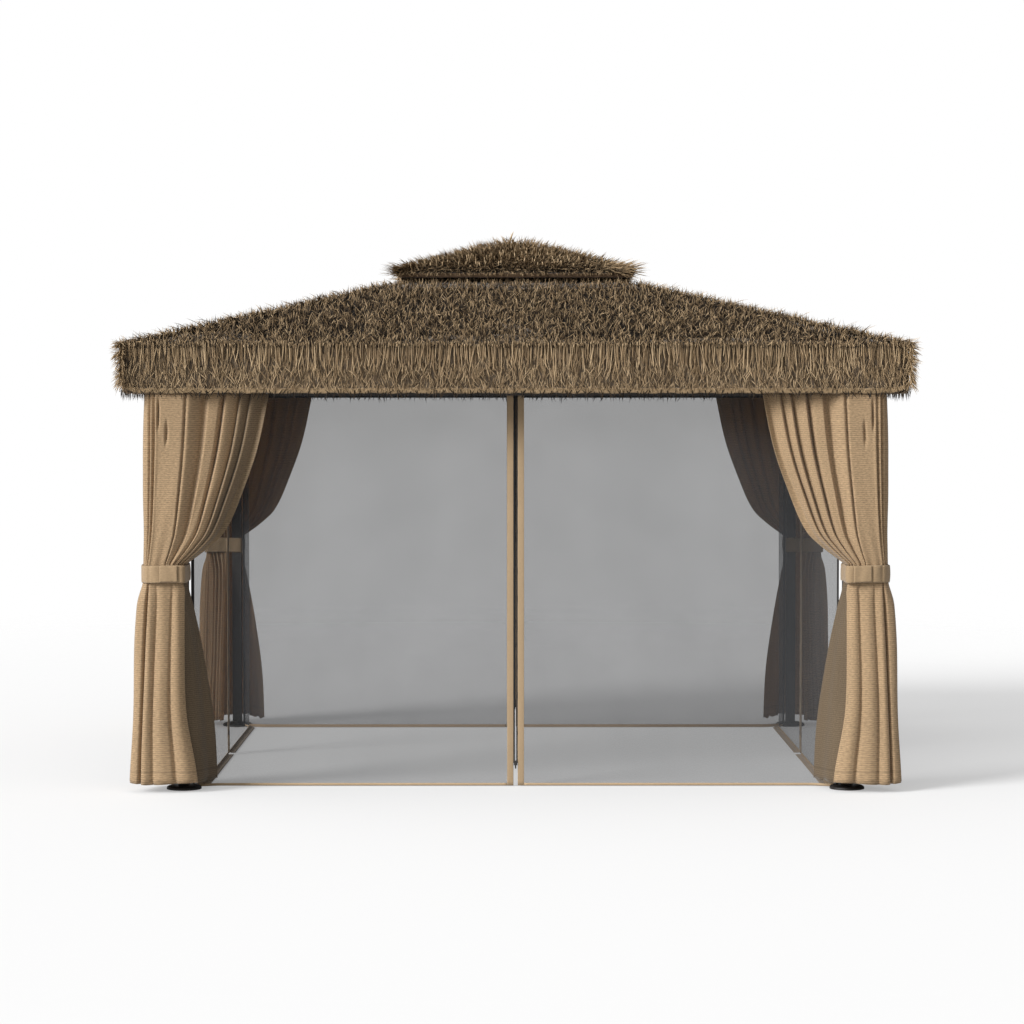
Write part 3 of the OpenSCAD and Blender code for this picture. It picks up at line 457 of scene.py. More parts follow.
def netFinish(name, colour, cover):
    made, tree, shader, spots = newMaterial(name, Roughness=0.8, Specular_IOR_Level=0.1)
    mesh = noiseNode(tree, spots["UV"], 260.0, 2.0)
    cloud = noiseNode(tree, spots["UV"], 2.5, 2.0)
    coarse = mathNode(tree, "ADD", aboutZero(tree, cloud, 0.08), cover)
    share = mathNode(tree, "ADD", aboutZero(tree, mesh, 0.35), coarse)
    tree.links.new(share, shader["Alpha"])
    tree.links.new(mixColours(tree, mesh, colour, tuple(c * 1.6 for c in colour)), shader["Base Color"])
    return made


# the near-black lowest stop is painted shade, used by the matting in the gaps between strands
strandStops = [(0.0, (0.008, 0.006, 0.004)), (0.2, (0.10, 0.066, 0.036)),
               (0.6, (0.30, 0.205, 0.112)), (1.0, (0.52, 0.38, 0.225))]
valanceStops = [(place, tuple(c * 0.88 for c in colour)) for place, colour in strandStops]
finishes = {
    "post": steelFinish("charcoalPowderCoat", (0.045, 0.040, 0.037), 0.42),
    "rail": steelFinish("charcoalRailCoat", (0.05, 0.046, 0.042), 0.38),
    "foot": steelFinish("glossyBlackPlastic", (0.012, 0.009, 0.008), 0.12, 0.0001, 0.0, 0.08),
    "zinc": steelFinish("zincPlate", (0.55, 0.55, 0.53), 0.35, 0.0001, 1.0),
    "slider": steelFinish("blackLacquer", (0.012, 0.012, 0.013), 0.25, 0.0001),
    "thatch": thatchFinish("weatheredThatch", strandStops, 0.06),
    "tier": thatchFinish("weatheredThatchUpper", strandStops, 0.15),
    "valance": thatchFinish("weatheredThatchValance", valanceStops, 0.80),
    # the valance backing is near black: painted shade behind the strands
    "backing": clothFinish("valanceBackingPaintedShade", (0.040, 0.028, 0.018), 0.004, 0.2, 0.3, 0.0005),
    "canopy": clothFinish("coatedCanopyCloth", (0.12, 0.088, 0.058), 0.003, 0.12, 0.15, 0.0005),
    "rim": clothFinish("darkRimTape", (0.080, 0.046, 0.022), 0.004, 0.15, 0.2, 0.0005),
    "band": clothFinish("valanceHemTape", (0.290, 0.200, 0.108), 0.003, 0.2, 0.5, 0.0005),
    "curtain": clothFinish("ribbedCurtainCloth", (0.515, 0.357, 0.207),
                           0.0094, 0.27, 1.0, 0.0012, 0.055, 0.30),
    # the back pair: a lighter copy of the curtain cloth, painted light for the shade they hang in, with more
    # light passing through
    "curtainPaintedLight": clothFinish("ribbedCurtainClothPaintedLight", (0.68, 0.485, 0.295),
                               0.0094, 0.27, 1.0, 0.0012, 0.055, 0.60),
    "tie": clothFinish("ribbedTieCloth", (0.335, 0.232, 0.132), 0.0040, 0.12, 0.5, 0.0008),
    "binding": clothFinish("tanBindingTape", (0.40, 0.285, 0.170), 0.0025, 0.2, 0.25, 0.0004),
    # the net hem tape is lighter than the same tan tape on the zips: painted light for the shade it lies in
    # at the floor
    "netHem": clothFinish("netHemTapePaintedLight", (0.50, 0.36, 0.22), 0.003, 0.2, 0.3, 0.0004),
    "netEdge": clothFinish("blackNetEdge", (0.020, 0.019, 0.019), 0.003, 0.2, 0.2, 0.0003),
    "zipTape": clothFinish("blackZipTape", (0.012, 0.013, 0.015), 0.002, 0.2, 0.2, 0.0003),
    "net": netFinish("insectNet", (0.05, 0.052, 0.055), 0.45),
}
print("materials made:", len(finishes))

# floor: a wide pale disc whose rim melts into the backdrop
floorSet = {"radius": 11.0, "fadeFrom": 6.0, "fadeTo": 10.67, "colour": 0.56, "lift": 0.36}
bpy.ops.mesh.primitive_circle_add(vertices=96, radius=floorSet["radius"], fill_type="NGON",
                                  location=(0, 0, 0))
floor = bpy.context.object
floor.name = "floor"
floorMat = bpy.data.materials.new("paleFloor")
floorMat.use_nodes = True
tree = floorMat.node_tree
tree.nodes.clear()
spots = tree.nodes.new("ShaderNodeTexCoord").outputs
away = addNode(tree, "ShaderNodeVectorMath", n0=spots["Object"])
away.operation = "LENGTH"
fade = addNode(tree, "ShaderNodeMapRange", Value=away.outputs["Value"], From_Min=floorSet["fadeFrom"],
               From_Max=floorSet["fadeTo"], To_Min=0.0, To_Max=1.0)
matt = addNode(tree, "ShaderNodeBsdfDiffuse", Color=(floorSet["colour"],) * 3 + (1,))
cameraRay = tree.nodes.new("ShaderNodeLightPath").outputs["Is Camera Ray"]
lift = addNode(tree, "ShaderNodeEmission", Strength=mathNode(tree, "MULTIPLY", cameraRay, floorSet["lift"]))
lit = addNode(tree, "ShaderNodeAddShader", n0=matt.outputs[0], n1=lift.outputs[0])
clear = tree.nodes.new("ShaderNodeBsdfTransparent")
shown = addNode(tree, "ShaderNodeMixShader", Fac=fade.outputs[0], n1=lit.outputs[0], n2=clear.outputs[0])
addNode(tree, "ShaderNodeOutputMaterial", Surface=shown.outputs[0])
floor.data.materials.append(floorMat)
deselectAll()


# thatch strands
def strandTemplate(rings):
    # a three-sided strand 1 long and 1 in half width, drawn out ring by ring and closed at its tip
    deselectAll()
    bpy.ops.mesh.primitive_circle_add(vertices=3, radius=1, fill_type="NGON", location=(0, 0, 0))
    strand = bpy.context.object
    bpy.ops.object.mode_set(mode="EDIT")
    bpy.ops.mesh.select_all(action="SELECT")
    for i in range(rings):
        bpy.ops.mesh.extrude_region_move(TRANSFORM_OT_translate={"value": (0, 0, 1 / rings)})
    bpy.ops.mesh.merge(type="CENTER")
    bpy.ops.mesh.select_all(action="SELECT")
    bpy.ops.mesh.normals_make_consistent(inside=False)
    bpy.ops.object.mode_set(mode="OBJECT")
    points = np.array([v.co for v in strand.data.vertices])
    corners = {}
    for face in strand.data.polygons:
        corners.setdefault(len(face.vertices), []).append(list(face.vertices))
    mesh = strand.data
    bpy.data.objects.remove(strand)
    bpy.data.meshes.remove(mesh)
    return points, [np.array(f) for f in corners.values()]


stiffStrand, shortStrand, longStrand = strandTemplate(2), strandTemplate(3), strandTemplate(5)


def unit(v):
    return v / np.maximum(np.linalg.norm(v, axis=-1, keepdims=True), 1e-9)


def growStrands(k, template, root, start, end, length, width, facing, tone, curl):
    # each strand leaves its root along start, bends over to end, and keeps its flat side towards facing;
    # these are given for the front wall, and the points come back turned to wall k
    shape, faces = template
    t = shape[:, 2][None, :, None]
    curlSide = unit(np.cross(start, facing))
    bend = start[:, None] * (t - t * t / 2) + end[:, None] * (t * t / 2)
    sway = (curlSide * curl[:, None])[:, None] * np.sin(t * math.pi) * 0.5
    path = root[:, None] + length[:, None, None] * (bend + sway)
    heading = unit(start[:, None] * (1 - t) + end[:, None] * t)
    side = unit(np.cross(heading, facing[:, None]))
    flat = np.cross(side, heading)
    taper = np.interp(shape[:, 2], [0, 0.45, 0.8, 1], [0.85, 1.0, 0.7, 0.3])
    profile = taper[None, :, None] * width[:, None, None] / 2
    sideways, thick = shape[:, 0][None, :, None], shape[:, 1][None, :, None] * 0.45
    points = path + profile * (sideways * side + thick * flat)
    return {"points": turned(points, k), "faces": faces, "tone": tone, "along": shape[:, 2]}


def strandPiece(name, fields, extra=None):
    # joins strand fields, and a plain mat under them, into one piece with its tone and along attributes
    points, faces, tones, alongs = [], [], [], []
    count = 0
    for field in fields:
        n, v = field["points"].shape[:2]
        points.append(field["points"].reshape(-1, 3))
        tones.append(np.repeat(field["tone"], v))
        alongs.append(np.tile(field["along"], n))
        for f in field["faces"]:
            every = f[None] + (np.arange(n) * v)[:, None, None]
            faces.append(every.reshape(-1, f.shape[1]) + count)
        count += n * v
    if extra:
        points.append(extra["points"])
        faces.append(extra["faces"] + count)
        tones.append(np.full(len(extra["points"]), extra["tone"]))
        alongs.append(np.full(len(extra["points"]), 0.6))
    obj = meshPiece(name, np.concatenate(points), faces, smooth=False)
    for title, values in (("tone", tones), ("along", alongs)):
        layer = obj.data.attributes.new(title, "FLOAT", "POINT")
        layer.data.foreach_set("value", np.concatenate(values).astype(np.float32))
    return obj


def looseFacing(n, side, out, up):
    # a facing direction for each of n strands; each part is its mean and its scatter, or one fixed number
    parts = [dice.normal(*q, n) if isinstance(q, tuple) else np.full(n, float(q)) for q in (side, out, up)]
    return unit(np.stack(parts, -1))


def spread(n, shift):
    # evenly spread pairs in the unit square, loosened a little
    i = np.arange(n) + 1
    pair = np.stack([(0.5 + shift + i * 0.7548776662) % 1, (0.5 + shift * 2 + i * 0.5698402910) % 1], -1)
    return np.clip(pair + dice.normal(0, 0.35 / math.sqrt(n), pair.shape), 0, 1)


def direction(out, azimuth, elevation):
    # the plan direction out, turned by azimuth and raised by elevation, in radians
    side = np.stack([-out[:, 1], out[:, 0], np.zeros(len(out))], -1)
    plan = out * np.cos(azimuth)[:, None] + side * np.sin(azimuth)[:, None]
    return plan * np.cos(elevation)[:, None] + np.array([0, 0, 1]) * np.sin(elevation)[:, None]


def slopeMat(k, halfX, halfY, shareIn, shareOut, heightAt, thickness, n=20, m=10):
    # the matting that the strands of a slope grow from: a closed, slightly lumpy slab, given a near-black
    # tone as painted shade in the gaps between strands
    share = np.linspace(shareIn, shareOut, m)[:, None]
    v = np.linspace(-1, 1, n)[None, :]
    x = halfAcross(k, halfX, halfY) * share * v
    y = -halfOut(k, halfX, halfY) * share * np.ones_like(v)
    lumps = 0.0015 * np.sin(31 * x) * np.sin(27 * y)
    top = np.stack([x, y, heightAt(share * np.ones_like(v)) + lumps], -1)
    low = top - np.array([0, 0, thickness])
    points = turned(np.concatenate([top.reshape(-1, 3), low.reshape(-1, 3)]), k)
    index = np.arange(n * m).reshape(m, n)
    quads = np.stack([index[:-1, :-1], index[1:, :-1], index[1:, 1:], index[:-1, 1:]], -1).reshape(-1, 4)
    under = quads[:, ::-1] + n * m
    rim = np.concatenate([index[0, :-1], index[:-1, -1], index[-1, :0:-1], index[:0:-1, 0]])
    nextOne = np.roll(rim, -1)
    walls = np.stack([rim, nextOne, nextOne + n * m, rim + n * m], -1)
    return {"points": points, "faces": np.concatenate([quads, under, walls]), "tone": 0.02}


def planeHeight(share):
    return eaveZ + roofShape["rise"] * (1 - share)


# standing is the share of strands that stand up; raise, laid and azimuth are in degrees
slopeSet = {
    "strands": 12600, "rootDrop": 0.030, "standing": 0.70, "length": (0.036, 0.062),
    "laidLength": (0.060, 0.100), "width": (0.0042, 0.0064), "raise": (34, 84), "laid": (6, 28),
    "azimuth": 17, "shareIn": 0.232,
    "hipStrands": 300, "hipLength": (0.055, 0.110), "hipWidth": (0.003, 0.006),
    "eaveStrands": 420, "eaveLength": (0.03, 0.062), "eaveWidth": (0.0042, 0.007), "room": 0.048,
    "tuftPitch": 0.254, "tuftRise": 0.023, "tuftHalf": (0.045, 0.075), "tuftStrands": 24, "tuftClear": 0.160,
    "courses": 4, "matInset": 0.030, "matThick": 0.0045}


def keptInside(k, root, start, end, length):
    # shorter strands near the rim, so that no tip reaches far past the valance
    tip = root + length[:, None] * (start + end) / 2
    limit = np.array(roofHalves(k)) + slopeSet["room"]
    growth = np.maximum(np.abs(tip[:, :2]) - np.abs(root[:, :2]), 1e-6)
    allowed = np.where(np.abs(tip[:, :2]) > limit, (limit - np.abs(root[:, :2])) / growth, 1.0)
    return length * np.clip(allowed.min(axis=1), 0.15, 1)


def slopeField(k, n, share, v, s, lifted=0.0, fan=0.0):
    # n strands rooted at those shares of the slope, v across it: most stand up, the others lie downhill
    across, out = roofHalves(k)
    drop = s["rootDrop"] + np.where(share < 0.34, 0.012, 0.0) - lifted
    root = np.stack([across * share * v, -out * share, planeHeight(share) - drop], -1)
    downhill = np.tile([0.0, -1.0, 0.0], (n, 1))
    tiltAngle = math.atan2(roofShape["rise"], out)
    stands = (dice.uniform(0, 1, n) < s["standing"]) | (share > 0.955)
    turn = np.radians(np.where(stands, dice.uniform(-170, 170, n), dice.normal(0, s["azimuth"], n)))
    turn = turn + np.where(stands, 0.0, fan)
    rising = np.where(stands, dice.uniform(*s["raise"], n), dice.uniform(*s["laid"], n))
    up = np.radians(rising) - tiltAngle * np.cos(turn)
    down = up - np.radians(np.where(stands, dice.uniform(-6, 16, n), dice.uniform(4, 24, n)))
    start = direction(downhill, turn, up)
    end = direction(downhill, turn + np.radians(dice.normal(0, 9, n)), down)
    length = np.where(stands, dice.uniform(*s["length"], n), dice.uniform(*s["laidLength"], n))
    length = keptInside(k, root, start, end, length)
    width = dice.uniform(*s["width"], n)
    facing = looseFacing(n, (0, 0.6), (-0.8, 0.4), (0.6, 0.4))
    tone = np.clip(0.02 + dice.beta(1.15, 1.35, n) * 0.98, 0.02, 1)
    return growStrands(k, stiffStrand, root, start, end, length, width, facing, tone,
                       dice.normal(0, 0.03, n))


def eaveField(k, n, s):
    # strands that leave the eave outwards and hang over the top of the valance
    across, out = roofHalves(k)
    share = dice.uniform(0.975, 0.998, n)
    root = np.stack([across * share * dice.uniform(-1, 1, n), -out * share, planeHeight(share) - 0.012], -1)
    downhill = np.tile([0.0, -1.0, 0.0], (n, 1))
    turn = np.radians(dice.normal(0, 16, n))
    start = direction(downhill, turn, np.radians(dice.uniform(5, 45, n)))
    end = direction(downhill, turn, np.radians(dice.uniform(-100, -70, n)))
    length = keptInside(k, root, start, end, dice.uniform(*s["eaveLength"], n))
    facing = looseFacing(n, (0, 0.5), -1, (0.5, 0.3))
    return growStrands(k, shortStrand, root, start, end, length, dice.uniform(*s["eaveWidth"], n), facing,
                       dice.uniform(0.3, 1.0, n), dice.normal(0, 0.04, n))


def scatter(i, size):
    # the same even scatter as the frame's tufts have
    return size * math.sin(math.radians(i * 137.5 + 40))


def tuftField(k, s):
    # fuller tufts, where the frame's slope has its raised ones
    across, out = roofHalves(k)
    tiltAngle = math.atan2(roofShape["rise"], out)
    foot = (roofX - skirtX + 0.030 * math.tan(tiltAngle)) / math.cos(tiltAngle)
    course = ((out - halfOut(k, ventX, ventY)) / math.cos(tiltAngle) - foot) / s["courses"]
    middles = []
    for j in range(s["courses"] - 1):
        at = foot + course * (j + 0.55)
        half = across * (1 - at * math.cos(tiltAngle) / out) - s["tuftClear"]
        count = round(2 * half / s["tuftPitch"])
        for i in range(count + 1):
            sideways = half * (2 * i / count - 1) + scatter(i + count, 0.0275)
            middles.append((sideways, at + scatter(i + j, 0.0283)))
    middles = np.repeat(np.array(middles), s["tuftStrands"], axis=0)
    n = len(middles)
    away, turn = np.sqrt(dice.uniform(0, 1, n)), dice.uniform(0, math.tau, n)
    x = middles[:, 0] + s["tuftHalf"][0] * away * np.cos(turn)
    up = middles[:, 1] + s["tuftHalf"][1] * away * np.sin(turn)
    share = 1 - up * math.cos(tiltAngle) / out
    lifted = s["tuftRise"] * (1 - away ** 2) * 0.9
    return slopeField(k, n, share, x / (across * share), s, lifted, np.cos(turn) * away * 0.7)


def hipField(k, s):
    # loose strands along the hip at the right end of wall k, which stick out sideways
    n = s["hipStrands"]
    share = np.sqrt(dice.uniform(s["shareIn"] ** 2 * 2, 1.0, n))
    across, out = roofHalves(k)
    root = np.stack([across * share, -out * share, planeHeight(share) - s["rootDrop"] + 0.004], -1)
    outward = np.tile(unit(np.array([0.75, -0.66, 0.0])), (n, 1))
    turn = np.radians(dice.normal(0, 42, n))
    rising = dice.uniform(-6, 38, n)
    start = direction(outward, turn, np.radians(rising))
    turnLater = turn + np.radians(dice.normal(0, 10, n))
    end = direction(outward, turnLater, np.radians(rising - dice.uniform(5, 38, n)))
    facing = looseFacing(n, (0, 0.5), (-0.3, 0.4), (0.9, 0.2))
    length = keptInside(k, root, start, end, dice.uniform(*s["hipLength"], n))
    return growStrands(k, shortStrand, root, start, end, length, dice.uniform(*s["hipWidth"], n), facing,
                       dice.uniform(0.2, 0.9, n), dice.normal(0, 0.08, n))


def matHeight(share):
    return planeHeight(share) - roofShape["matDrop"] - np.where(share < 0.33, 0.008, 0.0)


for k in range(4):
    n = slopeSet["strands"]
    pair = spread(n, 0.13 * k)
    share = np.sqrt(slopeSet["shareIn"] ** 2 + (1 - slopeSet["shareIn"] ** 2) * pair[:, 0])
    body = slopeField(k, n, share, 2 * pair[:, 1] - 1, slopeSet)
    eave = eaveField(k, int(slopeSet["eaveStrands"] * halfAcross(k, roofX, roofY) / roofX), slopeSet)
    mat = slopeMat(k, roofX - slopeSet["matInset"], roofY - slopeSet["matInset"], 0.235, 1.0,
                   matHeight, slopeSet["matThick"])
    fields = [body, tuftField(k, slopeSet), eave, hipField(k, slopeSet)]
    slope = strandPiece("roof_thatch_" + wallNames[k], fields, mat)
    dress(slope, "root", "thatch", finishes["thatch"], "thatch_" + wallNames[k])
print("roof thatch grown")

# valance: hanging strands on a cloth backing with a rolled hem
valanceSet = {"bandLow": 1.857, "bandHigh": 1.884, "round": 0.080, "cornerStrands": 290,
              "cornerLength": (0.03, 0.068), "cornerWidth": (0.003, 0.0052)}


def cornerLift(edge):
    # how much the lower edge rises towards the round lower corners of a valance
    r = valanceSet["round"]
    near = np.clip(r - edge, 0, r)
    return (r - np.sqrt(r * r - near * near)) * 0.8


def valanceField(k, template, perMetre, zRange, lengths, widths, face, lean, toneRange,
                 outTilt=(0.02, 0.16), tipIn=0.05, past=0.0):
    # face is the roots' depth behind the valance's front, lean their sideways spread in degrees,
    # and past how far the tips may hang below the hem
    across, out = roofHalves(k)
    n = int(2 * across * perMetre)
    x = (np.arange(n) + dice.uniform(0.1, 0.9, n)) / n * 2 - 1
    depth = np.full(n, -(out - face)) + dice.uniform(-0.004, 0.004, n)
    root = np.stack([x * (across - 0.004), depth, dice.uniform(*zRange, n)], -1)
    length = dice.uniform(*lengths, n)
    low = valanceSet["bandLow"] + 0.004 - past + cornerLift((1 - np.abs(x)) * across)
    length = np.minimum(length, np.maximum(root[:, 2] - low + dice.uniform(-0.016, 0.008, n), 0.010))
    sideways = np.radians(dice.normal(0, lean, n))
    tilt = dice.uniform(*outTilt, n)
    start = unit(np.stack([np.sin(sideways), -tilt - 0.10, -np.cos(sideways)], -1))
    lateSway = np.sin(sideways + np.radians(dice.normal(0, lean, n)))
    end = unit(np.stack([lateSway, -tilt * 0.1 + tipIn, -np.ones(n)], -1))
    facing = looseFacing(n, (0, 0.45), -1, (0.1, 0.2))
    return growStrands(k, template, root, start, end, length, dice.uniform(*widths, n),
                       facing, dice.uniform(*toneRange, n), dice.normal(0, 0.04, n))


def cornerField(k, n):
    # bristles that stand out from the upright corner edge at the right end of wall k
    across, out = roofHalves(k)
    z = dice.uniform(valanceSet["bandLow"] + 0.045, eaveZ, n)
    root = np.stack([np.full(n, across - 0.012), np.full(n, -(out - 0.012)), z], -1)
    high = (z - valanceSet["bandLow"]) / (eaveZ - valanceSet["bandLow"])
    outward = np.tile(unit(np.array([0.7, -0.7, 0.0])), (n, 1))
    turn = np.radians(dice.normal(0, 48, n))
    rising = dice.uniform(-25, 10, n) - 45 * (1 - high)
    start = direction(outward, turn, np.radians(rising + 10))
    end = direction(outward, turn, np.radians(rising - 20))
    facing = looseFacing(n, (0, 0.5), (-0.5, 0.4), (0.8, 0.3))
    length, width = (dice.uniform(*valanceSet[q], n) for q in ("cornerLength", "cornerWidth"))
    return growStrands(k, shortStrand, root, start, end, length, width, facing,
                       dice.uniform(0.45, 1.0, n), dice.normal(0, 0.05, n))


# six layers, from the long strands of the eave to the loose ends under the hem, whose near-black tones are
# painted shade
valanceLayers = (
    (longStrand, 125, (eaveZ - 0.012, eaveZ + 0.010), (0.06, 0.15), (0.0044, 0.0068), 0.010, 5, (0.35, 1.0),
     (0.0, 0.10)),
    (shortStrand, 170, (eaveZ - 0.022, eaveZ + 0.004), (0.05, 0.10), (0.0042, 0.0062), 0.019, 7,
     (0.15, 0.65)),
    (shortStrand, 380, (1.975, 2.062), (0.050, 0.090), (0.0040, 0.0060), 0.019, 15, (0.05, 1.0),
     (0.02, 0.16), 0.02),
    (stiffStrand, 560, (1.900, 1.990), (0.036, 0.070), (0.0036, 0.0056), 0.014, 24, (0.10, 1.0),
     (0.02, 0.10), -0.01),
    (stiffStrand, 260, (1.874, 1.908), (0.014, 0.040), (0.0030, 0.0048), 0.008, 26, (0.25, 1.0),
     (0.0, 0.05), 0.0),
    (stiffStrand, 70, (1.866, 1.876), (0.034, 0.060), (0.0044, 0.0062), 0.012, 26, (0.0, 0.10),
     (0.0, 0.05), 0.0, 0.046),
)
for k in range(4):
    fields = [valanceField(k, *layer) for layer in valanceLayers]
    fields.append(cornerField(k, valanceSet["cornerStrands"]))
    fringe = strandPiece("valance_thatch_" + wallNames[k], fields)
    dress(fringe, "root", "thatch", finishes["valance"], "valance")


def ringPath(halfX, halfY, n, corner=0.0):
    # points round a rectangle, from its front left corner to the right; a corner radius rounds it
    runX, runY = halfX - corner, halfY - corner
    points = []
    for k in range(4):
        a, b = (runX, runY) if k % 2 == 0 else (runY, runX)
        line = np.stack([np.linspace(-a, a, n, endpoint=False), np.full(n, -(b + corner)), np.zeros(n)], -1)
        points.append(turned(line, k))
        if corner:
            ang = np.linspace(-math.pi / 2, 0, 7, endpoint=False)
            arc = np.stack([a + corner * np.cos(ang), -b + corner * np.sin(ang), np.zeros(7)], -1)
            points.append(turned(arc, k))
    return np.concatenate(points)


def layRows(name, points):
    # a closed cloth from stacked rows, with a UV map that runs round it and down it in metres
    run = np.concatenate([[0], np.cumsum(np.linalg.norm(np.diff(points[-1], axis=0), axis=-1))])
    fall = np.concatenate([[0], np.cumsum(np.linalg.norm(np.diff(points[:, 0], axis=0), axis=-1))])
    uv = np.stack(np.broadcast_arrays(run[None, :], -fall[:, None]), -1)
    return gridPiece(name, points, uv, True, closed=True)


def ringCloth(name, rows, n, corner=0.0):
    # a cloth of closed rows, each given by half sizes and height
    lines = []
    for halfX, halfY, z in rows:
        line = ringPath(halfX, halfY, n, corner)
        line[:, 2] = z
        lines.append(line)
    return layRows(name, np.stack(lines))


# the backing hangs from the eave, and its lower edge is rolled forward into a hem
backSet = {"inset": 0.030, "hemInset": 0.017, "bulge": 0.005, "thick": 0.0016, "liftFrom": 1.98}
inset, hemInset = backSet["inset"], backSet["hemInset"]
bandLow, bandHigh = valanceSet["bandLow"], valanceSet["bandHigh"]
bandMid = (bandLow + bandHigh) / 2
backRows = [(roofX - inset, roofY - inset, z) for z in np.linspace(eaveZ - 0.006, bandHigh - 0.012, 9)]
backing = ringCloth("valance_backing", backRows, 120, inset)
roll = [(math.cos(a), math.sin(a)) for a in np.linspace(math.pi * 0.5, -math.pi, 8)[1:4]]
roll += [(0.9, -0.55), (0.5, -0.95), (-0.6, -1.0)]
bandRows = [(roofX - hemInset, roofY - hemInset, bandHigh - 0.001)]
for c, s in roll:
    swell = backSet["bulge"] * c - hemInset
    bandRows.append((roofX + swell, roofY + swell, bandMid + (bandHigh - bandMid) * s))
bandRows.append((roofX - inset - 0.004, roofY - inset - 0.004, bandLow + 0.004))
hemBand = ringCloth("valance_hem", bandRows, 240, inset)
for piece in (backing, hemBand):
    # the lower edge rises at the corners and waves a little
    for v in piece.data.vertices:
        fromX, fromY = roofX - abs(v.co.x), roofY - abs(v.co.y)
        edge = max(min(fromX, fromY), max(fromX, fromY) - 0.02)
        low = max(0.0, (backSet["liftFrom"] - v.co.z) / (backSet["liftFrom"] - bandLow))
        run = v.co.x + v.co.y
        wave = 0.0016 * math.sin(run * 37) + 0.0011 * math.sin(run * 91 + v.co.x * 13)
        v.co.z += low * (float(cornerLift(edge)) + wave)
    thicken(piece, backSet["thick"])
# the backing's near-black colour is painted shade in the gaps between the strands
dress(backing, "root", "thatch", finishes["backing"], "valance")
dress(hemBand, "root", "thatch", finishes["band"], "valance")
print("valance hung")

# upper tier: strands round the crown
# raiseIn, raiseOut and sink are in degrees
tierSet = {
    "strands": 2300, "length": (0.055, 0.100), "width": (0.0034, 0.0056), "raiseIn": (38, 84),
    "raiseOut": (-12, 55), "sink": (10, 55), "crown": 330, "crownHalf": (0.085, 0.060), "crownRise": 0.012,
    "crownLength": (0.04, 0.095), "crownWidth": (0.0035, 0.006),
    "hanging": 130, "sideways": 260, "fringe": 240,
    "leafAt": (-0.035, -0.05, -0.01), "leafLength": 0.100, "leafWidth": 0.011}


def tierHeight(share):
    return tierLow + roofShape["tierRim"] + 0.002 + roofShape["tierRise"] * (1 - share)


def tierField(k, n, shares, vs, outward, turns, starts, ends, lengths, widths, tones, lift=0.0,
              template=shortStrand):
    # n strands on the upper roof; the number pairs are ranges, the angles are in degrees
    across, out = halfAcross(k, tierX, tierY), halfOut(k, tierX, tierY)
    share, v = dice.uniform(*shares, n), dice.uniform(*vs, n)
    root = np.stack([across * share * v, -out * share, tierHeight(share) + lift], -1)
    heading = np.tile(unit(np.array([*outward, 0.0])), (n, 1))
    turn = np.radians(dice.normal(0, turns, n))
    start = direction(heading, turn, np.radians(dice.uniform(*starts, n)))
    end = direction(heading, turn, np.radians(dice.uniform(*ends, n)))
    facing = looseFacing(n, (0, 0.5), (-0.8, 0.4), (0.6, 0.3))
    length, width, tone = (dice.uniform(*q, n) for q in (lengths, widths, tones))
    return growStrands(k, template, root, start, end, length, width, facing, tone,
                       dice.normal(0, 0.04, n))


def tierBody(k, n):
    # the strands that cover the upper roof: they stand near the peak and lean out near its edge
    pair = spread(n, 0.17 * k + 0.05)
    share = np.sqrt(0.004 + 0.96 * pair[:, 0])
    v = 2 * pair[:, 1] - 1
    across, out = halfAcross(k, tierX, tierY), halfOut(k, tierX, tierY)
    root = np.stack([across * share * v, -out * share, tierHeight(share)], -1)
    outward = unit(np.stack([0.55 * v, -np.ones(n), np.zeros(n)], -1))
    turn = np.radians(dice.normal(0, 26, n))
    pick = dice.uniform(0, 1, n)
    inner, outer = (tierSet[q][0] + (tierSet[q][1] - tierSet[q][0]) * pick for q in ("raiseIn", "raiseOut"))
    rising = inner + (outer - inner) * np.clip((share - 0.25) / 0.75, 0, 1)
    start = direction(outward, turn, np.radians(rising))
    end = direction(outward, turn, np.radians(rising - dice.uniform(*tierSet["sink"], n)))
    length = dice.uniform(*tierSet["length"], n) * np.interp(share, [0, 0.85, 1], [0.95, 0.95, 0.75])
    facing = looseFacing(n, (0, 0.5), (-0.5, 0.4), (0.9, 0.2))
    return growStrands(k, shortStrand, root, start, end, length, dice.uniform(*tierSet["width"], n), facing,
                       np.clip(dice.beta(2.2, 2.0, n), 0.05, 1), dice.normal(0, 0.08, n))


def crownField(n):
    # the crown tuft stands up from the peak
    halfX, halfY = tierSet["crownHalf"]
    root = np.stack([dice.normal(0, halfX, n), dice.normal(0, halfY, n),
                     np.full(n, tierPeak + tierSet["crownRise"])], -1)
    root[:, 2] -= np.linalg.norm(root[:, :2], axis=1) * 0.22
    loose = [root[:, i] + dice.normal(0, 0.05, n) for i in (0, 1)]
    outward = unit(np.stack([*loose, np.zeros(n)], -1))
    start = direction(outward, np.zeros(n), np.radians(dice.uniform(25, 80, n)))
    end = direction(outward, dice.normal(0, 0.4, n), np.radians(dice.uniform(-50, 45, n)))
    facing = looseFacing(n, (0, 0.4), (0, 0.4), 1)
    length, width = (dice.uniform(*tierSet[q], n) for q in ("crownLength", "crownWidth"))
    return growStrands(0, shortStrand, root, start, end, length, width, facing,
                       dice.uniform(0.35, 1, n), dice.normal(0, 0.1, n))


def leafField():
    # one loose leaf that stands up from the peak
    at = np.array([tierSet["leafAt"]]) + np.array([[0.0, 0.0, tierPeak]])
    return growStrands(0, longStrand, at, np.array([[0.15, 0.0, 1.0]]), np.array([[0.45, 0.0, 0.9]]),
                       np.array([tierSet["leafLength"]]), np.array([tierSet["leafWidth"]]),
                       np.array([[0.0, -1.0, 0.2]]), np.array([0.9]), np.array([0.0]))


